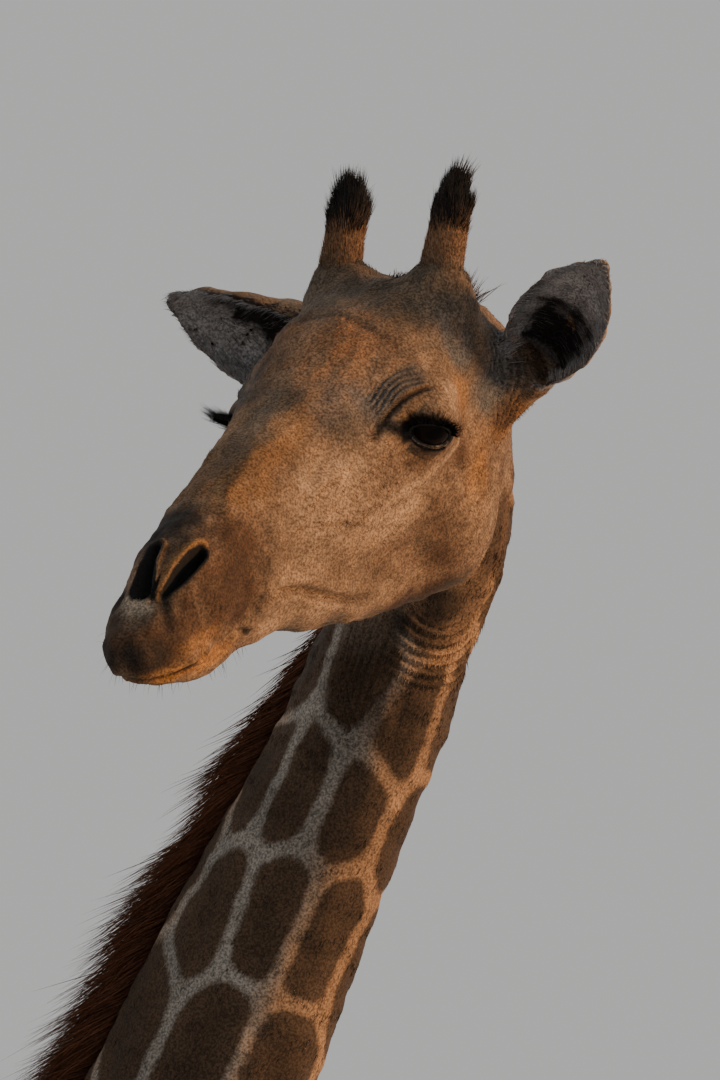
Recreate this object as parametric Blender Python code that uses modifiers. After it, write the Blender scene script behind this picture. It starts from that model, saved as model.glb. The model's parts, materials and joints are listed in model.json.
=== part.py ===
"""A life-size female giraffe standing at rest, her head turned to look over her right side.

Metres, +Z up, +X towards the chest, +Y the animal's left. The flesh is made as lofts of smooth slices
and rounded masses, blended into one form, and then parted by thin cuts into the named parts.
"""

import math

import bmesh
import bpy
import numpy as np
from mathutils import Matrix, Vector

# ---- Driving dimensions -------------------------------------------------------------------------
GAP = 0.0003  # clear space between two parts that touch
POLL_HEIGHT = 4.00  # crown of the neck, where the head hangs
POLL_FORWARD = 1.363  # of the poll, ahead of the point between the withers
POLL_ASIDE = -0.105  # the bent neck carries the poll to the right of the spine
HEAD_YAW = math.radians(-102.2)  # turned from straight ahead
HEAD_PITCH = math.radians(18.7)  # nose down
HEAD_ROLL = math.radians(-2.5)
HEAD_LENGTH = 0.63  # poll to lips
EYE = Vector((0.208, 0.096, 0.014))  # centre of the left eyeball, in the head's frame
EYE_RADIUS = 0.0250
OSSICONE_ROOT = Vector((0.104, 0.054, 0.080))
OSSICONE_TIPS = {1: Vector((0.050, 0.060, 0.225)), -1: Vector((0.050, -0.065, 0.214))}
LEG_SPREAD = 0.155  # half the distance between the left and right hooves
FORE_HOOF_X = 0.535
HIND_HOOF_X = -0.715
HOOF_HEIGHT = 0.100
MANE_HEIGHT = 0.058
ELBOW_HEIGHT = 1.60
TAIL_ROOT = Vector((-0.885, 0.0, 2.08))
TAIL_TUFT_TOP = 1.24
TAIL_TUFT_END = 0.72
BODY_VOXEL = 0.020
HEAD_VOXEL = 0.0065
BODY_FACES = 2600
HEAD_FACES = 2250
NECK_CUT = 0.40  # the upper neck ends this far below the poll
THROAT = Vector((-0.030, 0.0, -0.115))  # in the head's frame, on the cut between head and neck
THROAT_NORMAL = Vector((-0.72, 0.0, -0.69))
NECK_ROOT = Vector((0.50, 0.0, 2.44))  # on the cut between neck and trunk
NECK_ROOT_NORMAL = Vector((0.65, 0.0, 0.76))
EAR_ROOT = Vector((0.035, 0.090, 0.004))
EAR_TIPS = {1: Vector((0.072, 0.229, 0.134)), -1: Vector((0.080, -0.258, 0.097))}
EAR_WIDTHS = {1: 0.90, -1: 1.05}
EAR_BOWS = {1: 0.0, -1: 0.010}  # how far the middle of each ear hangs below a straight line
EAR_FACES = Vector((0.95, 0.0, -0.25))  # the way the ears open
EAR_THICKNESS = 0.007

# ---- Colours of the parts -----------------------------------------------------------------------
MATERIALS = {
    "coat": ((0.46, 0.33, 0.22, 1.0), 0.85),
    "ear": ((0.42, 0.37, 0.32, 1.0), 0.85),
    "dark_hair": ((0.03, 0.02, 0.015, 1.0), 0.75),
    "mane": ((0.14, 0.065, 0.035, 1.0), 0.80),
    "eye": ((0.02, 0.012, 0.008, 1.0), 0.08),
    "hoof": ((0.10, 0.085, 0.075, 1.0), 0.55),
}

# ---- Slices -------------------------------------------------------------------------------------
# Head: share of its length from the poll, top, bottom, half width, height of the widest line,
# squareness above it and below it.
HEAD_SLICES = (
    (-0.045, 0.070, -0.085, 0.054, 0.005, 2.0, 2.0),
    (0.060, 0.106, -0.148, 0.084, 0.016, 2.2, 2.0),
    (0.150, 0.122, -0.180, 0.095, 0.026, 2.4, 1.9),
    (0.260, 0.119, -0.184, 0.097, 0.028, 2.4, 1.8),
    (0.360, 0.104, -0.177, 0.092, 0.018, 2.3, 1.8),
    (0.460, 0.083, -0.166, 0.080, 0.000, 2.2, 1.9),
    (0.560, 0.062, -0.152, 0.067, -0.022, 2.1, 2.0),
    (0.660, 0.043, -0.138, 0.056, -0.038, 2.2, 2.1),
    (0.760, 0.022, -0.129, 0.048, -0.050, 2.2, 2.2),
    (0.860, -0.002, -0.128, 0.044, -0.064, 2.2, 2.3),
    (0.930, -0.028, -0.128, 0.041, -0.078, 2.1, 2.3),
    (0.985, -0.054, -0.118, 0.033, -0.086, 2.0, 2.1),
)
# Neck: drop below the poll, then forward and left of it, half depth, half width, twist in degrees.
NECK_SLICES = (
    (-0.020, 0.006, 0.010, 0.050, 0.050, -100.0),
    (0.060, -0.030, 0.064, 0.080, 0.068, -92.0),
    (0.160, -0.062, 0.105, 0.090, 0.076, -62.0),
    (0.250, -0.102, 0.105, 0.089, 0.070, -30.0),
    (0.330, -0.132, 0.105, 0.091, 0.067, -12.0),
    (0.480, -0.209, 0.105, 0.104, 0.073, -4.0),
    (0.670, -0.297, 0.105, 0.119, 0.082, 0.0),
    (0.950, -0.440, 0.105, 0.150, 0.098, 0.0),
    (1.250, -0.610, 0.105, 0.205, 0.125, 0.0),
    (1.500, -0.770, 0.105, 0.280, 0.165, 0.0),
    (1.700, -0.890, 0.105, 0.340, 0.195, 0.0),
    (1.880, -0.955, 0.105, 0.305, 0.205, 0.0),
    (2.060, -0.985, 0.105, 0.275, 0.205, 0.0),
    (2.240, -1.005, 0.105, 0.245, 0.180, 0.0),
    (2.400, -1.035, 0.105, 0.200, 0.140, 0.0),
)
# Trunk: forward, top, bottom, half width, height of the widest line.
TRUNK_SLICES = (
    (0.560, 2.340, 1.620, 0.170, 1.940),
    (0.490, 2.500, 1.535, 0.225, 1.955),
    (0.365, 2.610, 1.495, 0.265, 1.950),
    (0.185, 2.570, 1.490, 0.295, 1.930),
    (-0.050, 2.460, 1.500, 0.325, 1.930),
    (-0.265, 2.390, 1.540, 0.325, 1.950),
    (-0.465, 2.335, 1.640, 0.295, 1.980),
    (-0.660, 2.280, 1.750, 0.250, 2.000),
    (-0.825, 2.190, 1.840, 0.180, 2.020),
    (-0.905, 2.100, 1.920, 0.080, 2.020),
)
# Legs: height, forward of the hoof, out from the hoof, half depth, half width.
FORE_SLICES = (
    (2.25, -0.070, 0.010, 0.130, 0.060),
    (1.95, -0.030, 0.040, 0.175, 0.090),
    (1.72, -0.035, 0.042, 0.150, 0.092),
    (1.58, -0.045, 0.038, 0.122, 0.084),
    (1.42, -0.028, 0.030, 0.096, 0.073),
    (1.15, -0.020, 0.018, 0.073, 0.061),
    (0.97, -0.018, 0.010, 0.060, 0.056),
    (0.86, -0.012, 0.006, 0.067, 0.064),
    (0.77, -0.014, 0.004, 0.058, 0.058),
    (0.67, -0.024, 0.002, 0.043, 0.042),
    (0.45, -0.030, 0.000, 0.039, 0.037),
    (0.28, -0.034, 0.000, 0.043, 0.040),
    (0.20, -0.034, 0.000, 0.057, 0.052),
    (0.145, -0.016, 0.000, 0.050, 0.049),
    (0.100, -0.004, 0.000, 0.066, 0.060),
    (0.070, 0.000, 0.000, 0.060, 0.054),
)
HIND_SLICES = (
    (2.20, 0.060, -0.010, 0.180, 0.080),
    (1.95, 0.060, 0.020, 0.245, 0.110),
    (1.72, 0.085, 0.030, 0.225, 0.112),
    (1.55, 0.125, 0.034, 0.180, 0.100),
    (1.38, 0.120, 0.030, 0.135, 0.085),
    (1.20, 0.030, 0.022, 0.098, 0.068),
    (1.05, -0.052, 0.014, 0.074, 0.053),
    (0.94, -0.092, 0.008, 0.078, 0.048),
    (0.84, -0.088, 0.004, 0.062, 0.047),
    (0.70, -0.074, 0.002, 0.046, 0.041),
    (0.45, -0.058, 0.000, 0.040, 0.037),
    (0.27, -0.050, 0.000, 0.044, 0.040),
    (0.195, -0.044, 0.000, 0.056, 0.051),
    (0.145, -0.020, 0.000, 0.049, 0.048),
    (0.100, -0.004, 0.000, 0.064, 0.058),
    (0.070, 0.000, 0.000, 0.058, 0.052),
)
# How far each hoof is set ahead of its mean place.
STEPS = {("fore", 1): 0.060, ("fore", -1): -0.055, ("hind", 1): -0.075, ("hind", -1): 0.085}
# Rounded masses of the head: forward, left, up, their three radii, and a tilt about the cross axis.
HEAD_MASSES = {
    "forehead": ((0.185, 0.000, 0.090), (0.085, 0.060, 0.034), 8.0),
    "brow": ((0.198, 0.076, 0.044), (0.056, 0.030, 0.028), 8.0),
    "orbit": ((0.192, 0.080, 0.012), (0.048, 0.038, 0.042), 10.0),
    "cheekbone": ((0.265, 0.058, -0.018), (0.110, 0.020, 0.024), 14.0),
    "jaw_muscle": ((0.125, 0.050, -0.085), (0.085, 0.036, 0.088), 0.0),
    "jaw_edge": ((0.240, 0.034, -0.138), (0.160, 0.026, 0.028), -8.0),
    "nostril_pad": ((0.520, 0.020, -0.034), (0.048, 0.024, 0.026), 34.0),
    "upper_lip": ((0.572, 0.014, -0.090), (0.044, 0.034, 0.038), 10.0),
    "ear_root": ((0.026, 0.080, 0.008), (0.036, 0.036, 0.040), 0.0),
    "ossicone_root": ((0.094, 0.048, 0.092), (0.052, 0.042, 0.040), 0.0),
}
HEAD_MIDDLE_MASSES = {
    "lower_lip": ((0.512, 0.0, -0.124), (0.052, 0.032, 0.020), 4.0),
    "chin": ((0.445, 0.0, -0.122), (0.080, 0.034, 0.020), 4.0),
}
# Rounded masses of the body: forward, left, up, their three radii, and a tilt about the cross axis.
BODY_MASSES = {
    "shoulder": ((0.490, 0.150, 2.080), (0.180, 0.085, 0.420), -14.0),
    "shoulder_point": ((0.560, 0.130, 1.920), (0.110, 0.080, 0.200), -8.0),
    "haunch": ((-0.645, 0.140, 1.950), (0.230, 0.120, 0.310), 10.0),
    "stifle": ((-0.500, 0.165, 1.540), (0.100, 0.066, 0.160), 20.0),
}


# ---- Smooth curves through the stations ---------------------------------------------------------
def smooth(rows, at):
    """A table's values at the places asked for, on a smooth curve through its rows."""
    table = np.array(sorted(rows))
    place, value = table[:, 0], table[:, 1:]
    slope = np.gradient(value, place, axis=0)
    first = np.clip(np.searchsorted(place, at) - 1, 0, len(place) - 2)
    length = (place[first + 1] - place[first])[:, None]
    t = (np.asarray(at)[:, None] - place[first][:, None]) / length
    start, end = value[first], value[first + 1]
    leaving, arriving = slope[first] * length, slope[first + 1] * length
    return (
        (2 * t**3 - 3 * t**2 + 1) * start
        + (t**3 - 2 * t**2 + t) * leaving
        + (3 * t**2 - 2 * t**3) * end
        + (t**3 - t**2) * arriving
    )


def rounded(angle, power):
    """The cosine and sine of a superellipse: power 2 is round, and more is squarer."""
    c, s = math.cos(angle), math.sin(angle)
    return (
        math.copysign(abs(c) ** (2 / power), c),
        math.copysign(abs(s) ** (2 / power), s),
    )


# ---- Shapes -------------------------------------------------------------------------------------
def keep(name, mesh, material=None, collection=None):
    obj = bpy.data.objects.new(name, mesh)
    if material:
        mesh.materials.clear()
        mesh.materials.append(materials[material])
    (collection or giraffe).objects.link(obj)
    return obj


def mesh_of(bm, name):
    bmesh.ops.recalc_face_normals(bm, faces=bm.faces)
    if bm.calc_volume(signed=True) < 0:
        bmesh.ops.reverse_faces(bm, faces=bm.faces)
    mesh = bpy.data.meshes.new(name)
    bm.to_mesh(mesh)
    bm.free()
    return mesh


def loft(name, rings, frame=Matrix.Identity(4)):
    """A closed skin through rings of equally many points, with its ends filled."""
    bm = bmesh.new()
    loops = [[bm.verts.new(frame @ Vector(p)) for p in ring] for ring in rings]
    count = len(loops[0])
    for near, far in zip(loops, loops[1:]):
        for i in range(count):
            j = (i + 1) % count
            bm.faces.new((near[i], near[j], far[j], far[i]))
    for end in (loops[0], loops[-1]):
        bm.faces.new(end)
    return mesh_of(bm, name)


def with_round_ends(rings, start, end, steps=4):
    """The rings, with more beyond each end that close it in a dome this deep."""
    first, last = np.array(rings[0]), np.array(rings[-1])
    before = np.array(rings[0]).mean(0) - np.array(rings[1]).mean(0)
    after = np.array(rings[-1]).mean(0) - np.array(rings[-2]).mean(0)

    def dome(ring, way, depth):
        centre = ring.mean(0)
        way = way / np.linalg.norm(way)
        for step in range(1, steps + 1):
            turn = 0.5 * math.pi * step / (steps + 0.35)
            yield centre + (ring - centre) * math.cos(turn) + way * depth * math.sin(turn)

    return [*list(dome(first, before, start))[::-1], *rings, *dome(last, after, end)]


def ellipsoid(centre, radii, tilt, frame=Matrix.Identity(4)):
    bm = bmesh.new()
    place = frame @ Matrix.Translation(centre) @ Matrix.Rotation(math.radians(tilt), 4, "Y")
    bmesh.ops.create_uvsphere(
        bm, u_segments=16, v_segments=9, radius=1.0, matrix=place @ Matrix.Diagonal((*radii, 1.0))
    )
    return mesh_of(bm, "mass")


def both_sides(centre, side):
    return (centre[0], side * centre[1], centre[2])


# ---- Forming and cutting ------------------------------------------------------------------------
def evaluated(obj):
    """The object's mesh with its modifiers applied; the object is removed."""
    bpy.context.view_layer.update()
    graph = bpy.context.evaluated_depsgraph_get()
    mesh = bpy.data.meshes.new_from_object(obj.evaluated_get(graph))
    bpy.data.objects.remove(obj)
    return mesh


def joined(meshes):
    bm = bmesh.new()
    for mesh in meshes:
        bm.from_mesh(mesh)
    mesh = bpy.data.meshes.new("joined")
    bm.to_mesh(mesh)
    bm.free()
    return mesh


def blended(meshes, voxel, passes, faces):
    """One closed form of about this many faces, from overlapping masses melted together."""
    obj = keep("blend", joined(meshes), collection=helpers)
    remesh = obj.modifiers.new("melt", "REMESH")
    remesh.mode, remesh.voxel_size = "VOXEL", voxel
    soften = obj.modifiers.new("soften", "SMOOTH")
    soften.factor, soften.iterations = 0.5, passes
    mesh = evaluated(obj)
    obj = keep("blend", mesh, collection=helpers)
    thin = obj.modifiers.new("thin", "DECIMATE")
    thin.ratio = faces / (2 * len(mesh.polygons))
    return evaluated(obj)


def main_body(mesh):
    """The mesh without the crumbs that a cut leaves beside its largest piece."""
    bm = bmesh.new()
    bm.from_mesh(mesh)
    left, largest = set(bm.verts), []
    while left:
        piece, edge = set(), {left.pop()}
        while edge:
            piece |= edge
            edge = {e.other_vert(v) for v in edge for e in v.link_edges} - piece
        left -= piece
        largest = max(largest, piece, key=len)
    bmesh.ops.delete(bm, geom=[v for v in bm.verts if v not in largest], context="VERTS")
    return mesh_of(bm, "body")


def halved(mesh, point, normal):
    """What lies on the side of a plane that its normal points to, closed along the cut."""
    bm = bmesh.new()
    bm.from_mesh(mesh)
    geometry = [*bm.verts, *bm.edges, *bm.faces]
    cut = bmesh.ops.bisect_plane(
        bm, geom=geometry, plane_co=point, plane_no=normal, clear_inner=True, dist=1e-6
    )
    edges = [e for e in cut["geom_cut"] if isinstance(e, bmesh.types.BMEdge)]
    bmesh.ops.triangle_fill(bm, edges=edges, use_beauty=True, normal=-Vector(normal))
    bmesh.ops.remove_doubles(bm, verts=bm.verts, dist=1e-6)
    return mesh_of(bm, "half")


def combined(mesh, others, operation):
    """A Boolean of the mesh with each of the others."""
    obj = keep("base", mesh.copy(), collection=helpers)
    cutters = [keep("cutter", other, collection=helpers) for other in others]
    for cutter in cutters:
        cutter.hide_render = True
        cutter.display_type = "WIRE"
        boolean = obj.modifiers.new("cut", "BOOLEAN")
        boolean.operation, boolean.object = operation, cutter
    result = evaluated(obj)
    for cutter in cutters:
        bpy.data.objects.remove(cutter)
    return main_body(result)


def swollen(mesh, by=2 * GAP):
    """The mesh pushed outwards, to cut a neighbour with a clear gap."""
    obj = keep("swell", mesh.copy(), collection=helpers)
    swell = obj.modifiers.new("swell", "DISPLACE")
    swell.strength, swell.mid_level = by, 0.0
    return evaluated(obj)


def wedge(x, y, floor, top, slope, side, grow=0.0):
    """A block from the floor up, its top rising outwards from the body's middle."""
    bm = bmesh.new()
    bmesh.ops.create_cube(bm, size=1.0)
    for vert in bm.verts:
        outward = y[1] + grow if vert.co.y * side > 0 else y[0] - grow
        upper = top + slope * outward + 2 * grow
        vert.co = (
            x[1] + grow if vert.co.x > 0 else x[0] - grow,
            side * outward,
            upper if vert.co.z > 0 else floor - grow,
        )
    return mesh_of(bm, "wedge")


# ---- The masses of the animal -------------------------------------------------------------------
def head_frame():
    turned = (
        Matrix.Rotation(HEAD_YAW, 4, "Z")
        @ Matrix.Rotation(HEAD_PITCH, 4, "Y")
        @ Matrix.Rotation(HEAD_ROLL, 4, "X")
    )
    return Matrix.Translation((POLL_FORWARD, POLL_ASIDE, POLL_HEIGHT)) @ turned


def head_rings(count=56, sides=36):
    shares = np.linspace(HEAD_SLICES[0][0], HEAD_SLICES[-1][0], count)
    rings = []
    for share, row in zip(shares, smooth(HEAD_SLICES, shares)):
        top, bottom, half_width, middle, upper_power, lower_power = row
        ring = []
        for k in range(sides):
            angle = 2 * math.pi * k / sides
            upper = angle < math.pi
            across, up = rounded(angle, upper_power if upper else lower_power)
            height = top - middle if upper else middle - bottom
            ring.append((share * HEAD_LENGTH, half_width * across, middle + height * up))
        rings.append(ring)
    return with_round_ends(rings, 0.03, 0.030)


def neck_rings(lowest=NECK_SLICES[-1][0], count=60, sides=32):
    """Level slices, each wider at the throat than at the crest and turned by the neck's twist."""
    drops = np.linspace(NECK_SLICES[0][0], lowest, count)
    rings = []
    for drop, row in zip(drops, smooth(NECK_SLICES, drops)):
        forward, left, half_depth, half_width, twist = row
        centre = Vector((POLL_FORWARD + forward, POLL_ASIDE + left, POLL_HEIGHT - drop))
        turn = Matrix.Rotation(math.radians(twist), 3, "Z")
        ring = []
        for k in range(sides):
            along, across = rounded(2 * math.pi * k / sides, 2.0)
            across *= 1.0 + 0.18 * along
            ring.append(centre + turn @ Vector((half_depth * along, half_width * across, 0.0)))
        rings.append(ring)
    return with_round_ends(rings, 0.03, 0.10)


def trunk_rings(count=48, sides=40):
    places = np.linspace(TRUNK_SLICES[-1][0], TRUNK_SLICES[0][0], count)
    rings = []
    for place, row in zip(places, smooth(TRUNK_SLICES, places)):
        top, bottom, half_width, middle = row
        ring = []
        for k in range(sides):
            angle = 2 * math.pi * k / sides
            across, up = rounded(angle, 2.0 if angle < math.pi else 2.3)
            height = top - middle if angle < math.pi else middle - bottom
            ring.append((place, half_width * across, middle + height * up))
        rings.append(ring)
    return with_round_ends(rings, 0.04, 0.09)


def leg_rings(slices, hoof_x, side, step, count=64, sides=20):
    heights = np.linspace(slices[0][0], slices[-1][0], count)
    rings = []
    for height, row in zip(heights, smooth(slices, heights)):
        forward, outward, half_depth, half_width = row
        swing = step * max(0.0, 1.0 - height / ELBOW_HEIGHT)
        centre = Vector((hoof_x + forward + swing, side * (LEG_SPREAD + outward), height))
        ring = []
        for k in range(sides):
            along, across = rounded(2 * math.pi * k / sides, 2.15)
            ring.append(centre + Vector((half_depth * along, half_width * across, 0.0)))
        rings.append(ring)
    return with_round_ends(rings, 0.05, 0.001, steps=2)


def head_masses(frame):
    meshes = [loft("head", head_rings(), frame)]
    for centre, radii, tilt in HEAD_MASSES.values():
        sides = (1, -1) if centre[1] else (1,)
        meshes += [ellipsoid(both_sides(centre, side), radii, tilt, frame) for side in sides]
    for centre, radii, tilt in HEAD_MIDDLE_MASSES.values():
        meshes.append(ellipsoid(centre, radii, tilt, frame))
    return meshes


def body_masses():
    meshes = [loft("neck", neck_rings()), loft("trunk", trunk_rings())]
    for centre, radii, tilt in BODY_MASSES.values():
        meshes += [ellipsoid(both_sides(centre, side), radii, tilt) for side in (1, -1)]
    for (pair, side), step in STEPS.items():
        slices, hoof_x = LEGS[pair]
        meshes.append(loft("leg", leg_rings(slices, hoof_x, side, step)))
    return meshes


# ---- The named parts ----------------------------------------------------------------------------
SIDES = {1: "left", -1: "right"}
LEGS = {"fore": (FORE_SLICES, FORE_HOOF_X), "hind": (HIND_SLICES, HIND_HOOF_X)}
# Where each pair of legs leaves the trunk: back and front, then the slanting cut's height and slope.
LEG_CUTS = {"fore": ((0.325, 0.90), 1.47, 0.90), "hind": ((-1.20, -0.335), 1.60, 0.72)}


def add_head_and_neck(frame):
    """Head, neck in two lengths, and the form that the ears, ossicones and mane are cut by."""
    fine = blended(head_masses(frame) + [loft("neck", neck_rings(NECK_CUT + 0.06))], HEAD_VOXEL, 14, HEAD_FACES)
    crown = Vector((0.0, 0.0, POLL_HEIGHT - NECK_CUT - 0.02))
    fine = halved(fine, crown, (0.0, 0.0, 1.0))
    throat = frame @ THROAT
    away = (frame.to_3x3() @ THROAT_NORMAL).normalized()
    head = halved(fine, throat - away * GAP / 2, -away)
    sockets = [ellipsoid(both_sides(EYE, s), (EYE_RADIUS + GAP,) * 3, 0.0, frame) for s in SIDES]
    head = combined(head, sockets, "DIFFERENCE")
    keep("head", head, "coat")
    cut = Vector((0.0, 0.0, POLL_HEIGHT - NECK_CUT))
    upper = halved(halved(fine, throat + away * GAP / 2, away), cut, (0.0, 0.0, 1.0))
    keep("neck_upper", upper, "coat")
    return fine


def add_eyes(frame):
    for side, word in SIDES.items():
        eye = ellipsoid(both_sides(EYE, side), (EYE_RADIUS,) * 3, 0.0, frame)
        eye.shade_smooth()
        keep("eye_" + word, eye, "eye")


def add_ossicones(frame, flesh):
    """Skin-covered horns with a brush of hair that stands past the tip."""
    outline = ((0.0, 0.028), (0.18, 0.034), (0.34, 0.033), (0.48, 0.029), (0.64, 0.026), (0.82, 0.0265), (0.94, 0.022), (1.0, 0.015))
    for side, word in SIDES.items():
        root, tip = Vector(both_sides(OSSICONE_ROOT, side)), OSSICONE_TIPS[side]
        way = (tip - root).normalized()
        turn = way.to_track_quat("Z", "X").to_matrix()
        shares = np.linspace(0.0, 1.0, 9)
        rings = []
        for share, (radius,) in zip(shares, smooth(outline, shares)):
            centre = root.lerp(tip, share)
            spokes = [2 * math.pi * k / 18 for k in range(12)]
            rings.append([
                centre + turn @ Vector((radius * math.cos(a), radius * math.sin(a), 0.0))
                for a in spokes
            ])
        mesh = loft("ossicone", with_round_ends(rings, 0.002, 0.008), frame)
        keep("ossicone_" + word, combined(mesh, [swollen(flesh)], "DIFFERENCE"), "coat")


def ear_surface(side, lengths=10, widths=6):
    """Points over one ear's cup, from its tube at the head to its tip."""
    root, tip = Vector(both_sides(EAR_ROOT, side)), EAR_TIPS[side]
    along = (tip - root).normalized()
    opening = (EAR_FACES - along * EAR_FACES.dot(along)).normalized()
    across = along.cross(opening)
    # share of the length, half width, half angle of the arc in degrees
    outline = ((0.0, 0.026, 140.0), (0.15, 0.036, 122.0), (0.30, 0.045, 103.0), (0.50, 0.048, 85.0),
               (0.70, 0.041, 70.0), (0.87, 0.025, 58.0), (0.96, 0.012, 48.0), (1.0, 0.006, 42.0))
    shares = np.linspace(0.0, 1.0, lengths)
    for share, (half_width, arc) in zip(shares, smooth(outline, shares)):
        arc, half_width = math.radians(arc), half_width * EAR_WIDTHS[side]
        radius = half_width / math.sin(min(arc, 0.5 * math.pi))
        rim = math.cos(arc)
        bow = side * EAR_BOWS[side] * math.sin(math.pi * share)
        centre = root.lerp(tip, share) + across * bow
        row = []
        for k in range(widths + 1):
            angle = arc * (2 * k / widths - 1)
            depth = radius * (math.cos(angle) - rim)
            row.append(centre + across * radius * math.sin(angle) - opening * depth)
        yield row


def add_ears(frame, flesh):
    for side, word in SIDES.items():
        bm = bmesh.new()
        rows = [[bm.verts.new(frame @ p) for p in row] for row in ear_surface(side)]
        for near, far in zip(rows, rows[1:]):
            for i in range(len(near) - 1):
                bm.faces.new((near[i], near[i + 1], far[i + 1], far[i]))
        obj = keep("ear", mesh_of(bm, "ear"), collection=helpers)
        thick = obj.modifiers.new("thick", "SOLIDIFY")
        thick.thickness, thick.offset = EAR_THICKNESS, 0.0
        keep("ear_" + word, combined(evaluated(obj), [swollen(flesh)], "DIFFERENCE"), "ear")


def mane_rings(top=-0.065, bottom=1.46, count=26, sides=8):
    """The brush's level slices: thick at the crest, thin at the hair tips."""
    drops = np.linspace(top, bottom, count)
    rows = smooth(NECK_SLICES, np.maximum(drops, NECK_SLICES[0][0]))
    for drop, (forward, left, half_depth, _, twist) in zip(drops, rows):
        end = min((drop + 0.068) / 0.24, (1.50 - drop) / 0.40, 1.0)
        height = MANE_HEIGHT * math.sqrt(end)
        turn = Matrix.Rotation(math.radians(twist), 3, "Z")
        centre = Vector((POLL_FORWARD + forward, POLL_ASIDE + left, POLL_HEIGHT - drop))
        crest = half_depth - 0.03
        ring = []
        for k in range(sides):
            along, across = rounded(2 * math.pi * k / sides, 1.8)
            reach = crest + (height + 0.03) * (0.5 + 0.5 * along)
            ring.append(centre + turn @ Vector((-reach, (0.016 - 0.006 * along) * across, 0.0)))
        yield ring


def add_mane(flesh_above, flesh_below):
    """A brush of stiff hair along the crest, from behind the ossicones to the withers."""
    brush = loft("mane", list(mane_rings()))
    cut = POLL_HEIGHT - NECK_CUT
    for name, flesh, way in (("upper", flesh_above, 1.0), ("lower", flesh_below, -1.0)):
        length = halved(brush, (0.0, 0.0, cut + way * GAP / 2), (0.0, 0.0, way))
        keep("mane_" + name, combined(length, [swollen(flesh)], "DIFFERENCE"), "mane")


def add_trunk_and_legs(body):
    root_normal = NECK_ROOT_NORMAL.normalized()
    neck = halved(body, NECK_ROOT + root_normal * GAP / 2, root_normal)
    top = Vector((0.0, 0.0, POLL_HEIGHT - NECK_CUT - GAP))
    keep("neck_lower", halved(neck, top, (0.0, 0.0, -1.0)), "coat")
    trunk = halved(body, NECK_ROOT - root_normal * GAP / 2, -root_normal)
    below = []
    for (pair, side) in STEPS:
        x, top, slope = LEG_CUTS[pair]
        leg = combined(body, [wedge(x, (0.006, 0.5), HOOF_HEIGHT, top, slope, side)], "INTERSECT")
        keep(f"{pair}leg_{SIDES[side]}", leg, "coat")
        below.append(wedge(x, (0.006, 0.5), 0.0, top, slope, side, grow=GAP))
    keep("trunk", combined(trunk, below, "DIFFERENCE"), "coat")


def add_hooves():
    """Two claws to each foot, flat on the floor, with a narrow cleft between them."""
    # height, forward of the ankle, half depth, half width
    outline = ((0.0, 0.016, 0.104, 0.080), (0.012, 0.015, 0.103, 0.080), (0.05, 0.004, 0.088, 0.072),
               (HOOF_HEIGHT - GAP, -0.004, 0.069, 0.062))
    for (pair, side), step in STEPS.items():
        centre_x = LEGS[pair][1] + step * (1.0 - 0.5 * HOOF_HEIGHT / ELBOW_HEIGHT)
        rings = []
        for height, (forward, half_depth, half_width) in zip(
            [row[0] for row in outline], smooth(outline, [row[0] for row in outline])
        ):
            ring = []
            for k in range(16):
                along, across = rounded(2 * math.pi * k / 16, 2.3)
                ring.append((centre_x + forward + half_depth * along,
                             side * LEG_SPREAD + half_width * across, height))
            rings.append(ring)
        hoof = loft("hoof", rings)
        for way, word in ((side, "outer"), (-side, "inner")):
            cleft = Vector((0.0, side * LEG_SPREAD + way * 0.003, 0.0))
            claw = halved(hoof, cleft, (0.0, way, 0.0))
            keep(f"claw_{pair}_{SIDES[side]}_{word}", claw, "hoof")


def add_tail(flesh):
    """A thin tail with a long tassel, hanging clear of the hocks."""
    parts = {
        "tail": ((2.10, 0.045, 0.044), (1.95, -0.055, 0.036), (1.60, -0.085, 0.024),
                 (1.40, -0.090, 0.019), (TAIL_TUFT_TOP, -0.092, 0.018)),
        "tail_tassel": ((TAIL_TUFT_TOP - GAP, -0.092, 0.019), (1.12, -0.093, 0.034),
                        (0.95, -0.093, 0.042), (0.80, -0.090, 0.030), (TAIL_TUFT_END, -0.088, 0.006)),
    }
    for name, outline in parts.items():
        heights = np.linspace(outline[0][0], outline[-1][0], 9)
        rings = []
        for height, (back, radius) in zip(heights, smooth(outline, heights)):
            spokes = [2 * math.pi * k / 14 for k in range(8)]
            rings.append([
                (TAIL_ROOT.x + back + radius * math.cos(a), 0.9 * radius * math.sin(a), height)
                for a in spokes
            ])
        mesh = loft(name, rings)
        if name == "tail":
            mesh = combined(mesh, [swollen(flesh)], "DIFFERENCE")
        keep(name, mesh, "coat" if name == "tail" else "dark_hair")


def centre_on_floor():
    """Moves the parts so that the middle of their common box stands over the origin."""
    corners = np.array([v.co for obj in giraffe.objects for v in obj.data.vertices])
    low, high = corners.min(0), corners.max(0)
    shift = Matrix.Translation((-(low[0] + high[0]) / 2, -(low[1] + high[1]) / 2, -low[2]))
    for obj in giraffe.objects:
        obj.data.transform(shift)


for old in list(bpy.data.objects):
    bpy.data.objects.remove(old)
giraffe = bpy.data.collections.new("giraffe")
helpers = bpy.data.collections.new("cutters")
for group in (giraffe, helpers):
    bpy.context.scene.collection.children.link(group)
materials = {}
for label, (colour, roughness) in MATERIALS.items():
    material = bpy.data.materials.new(label)
    material.use_nodes = True
    shader = material.node_tree.nodes["Principled BSDF"]
    shader.inputs["Base Color"].default_value = colour
    shader.inputs["Roughness"].default_value = roughness
    materials[label] = material

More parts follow.
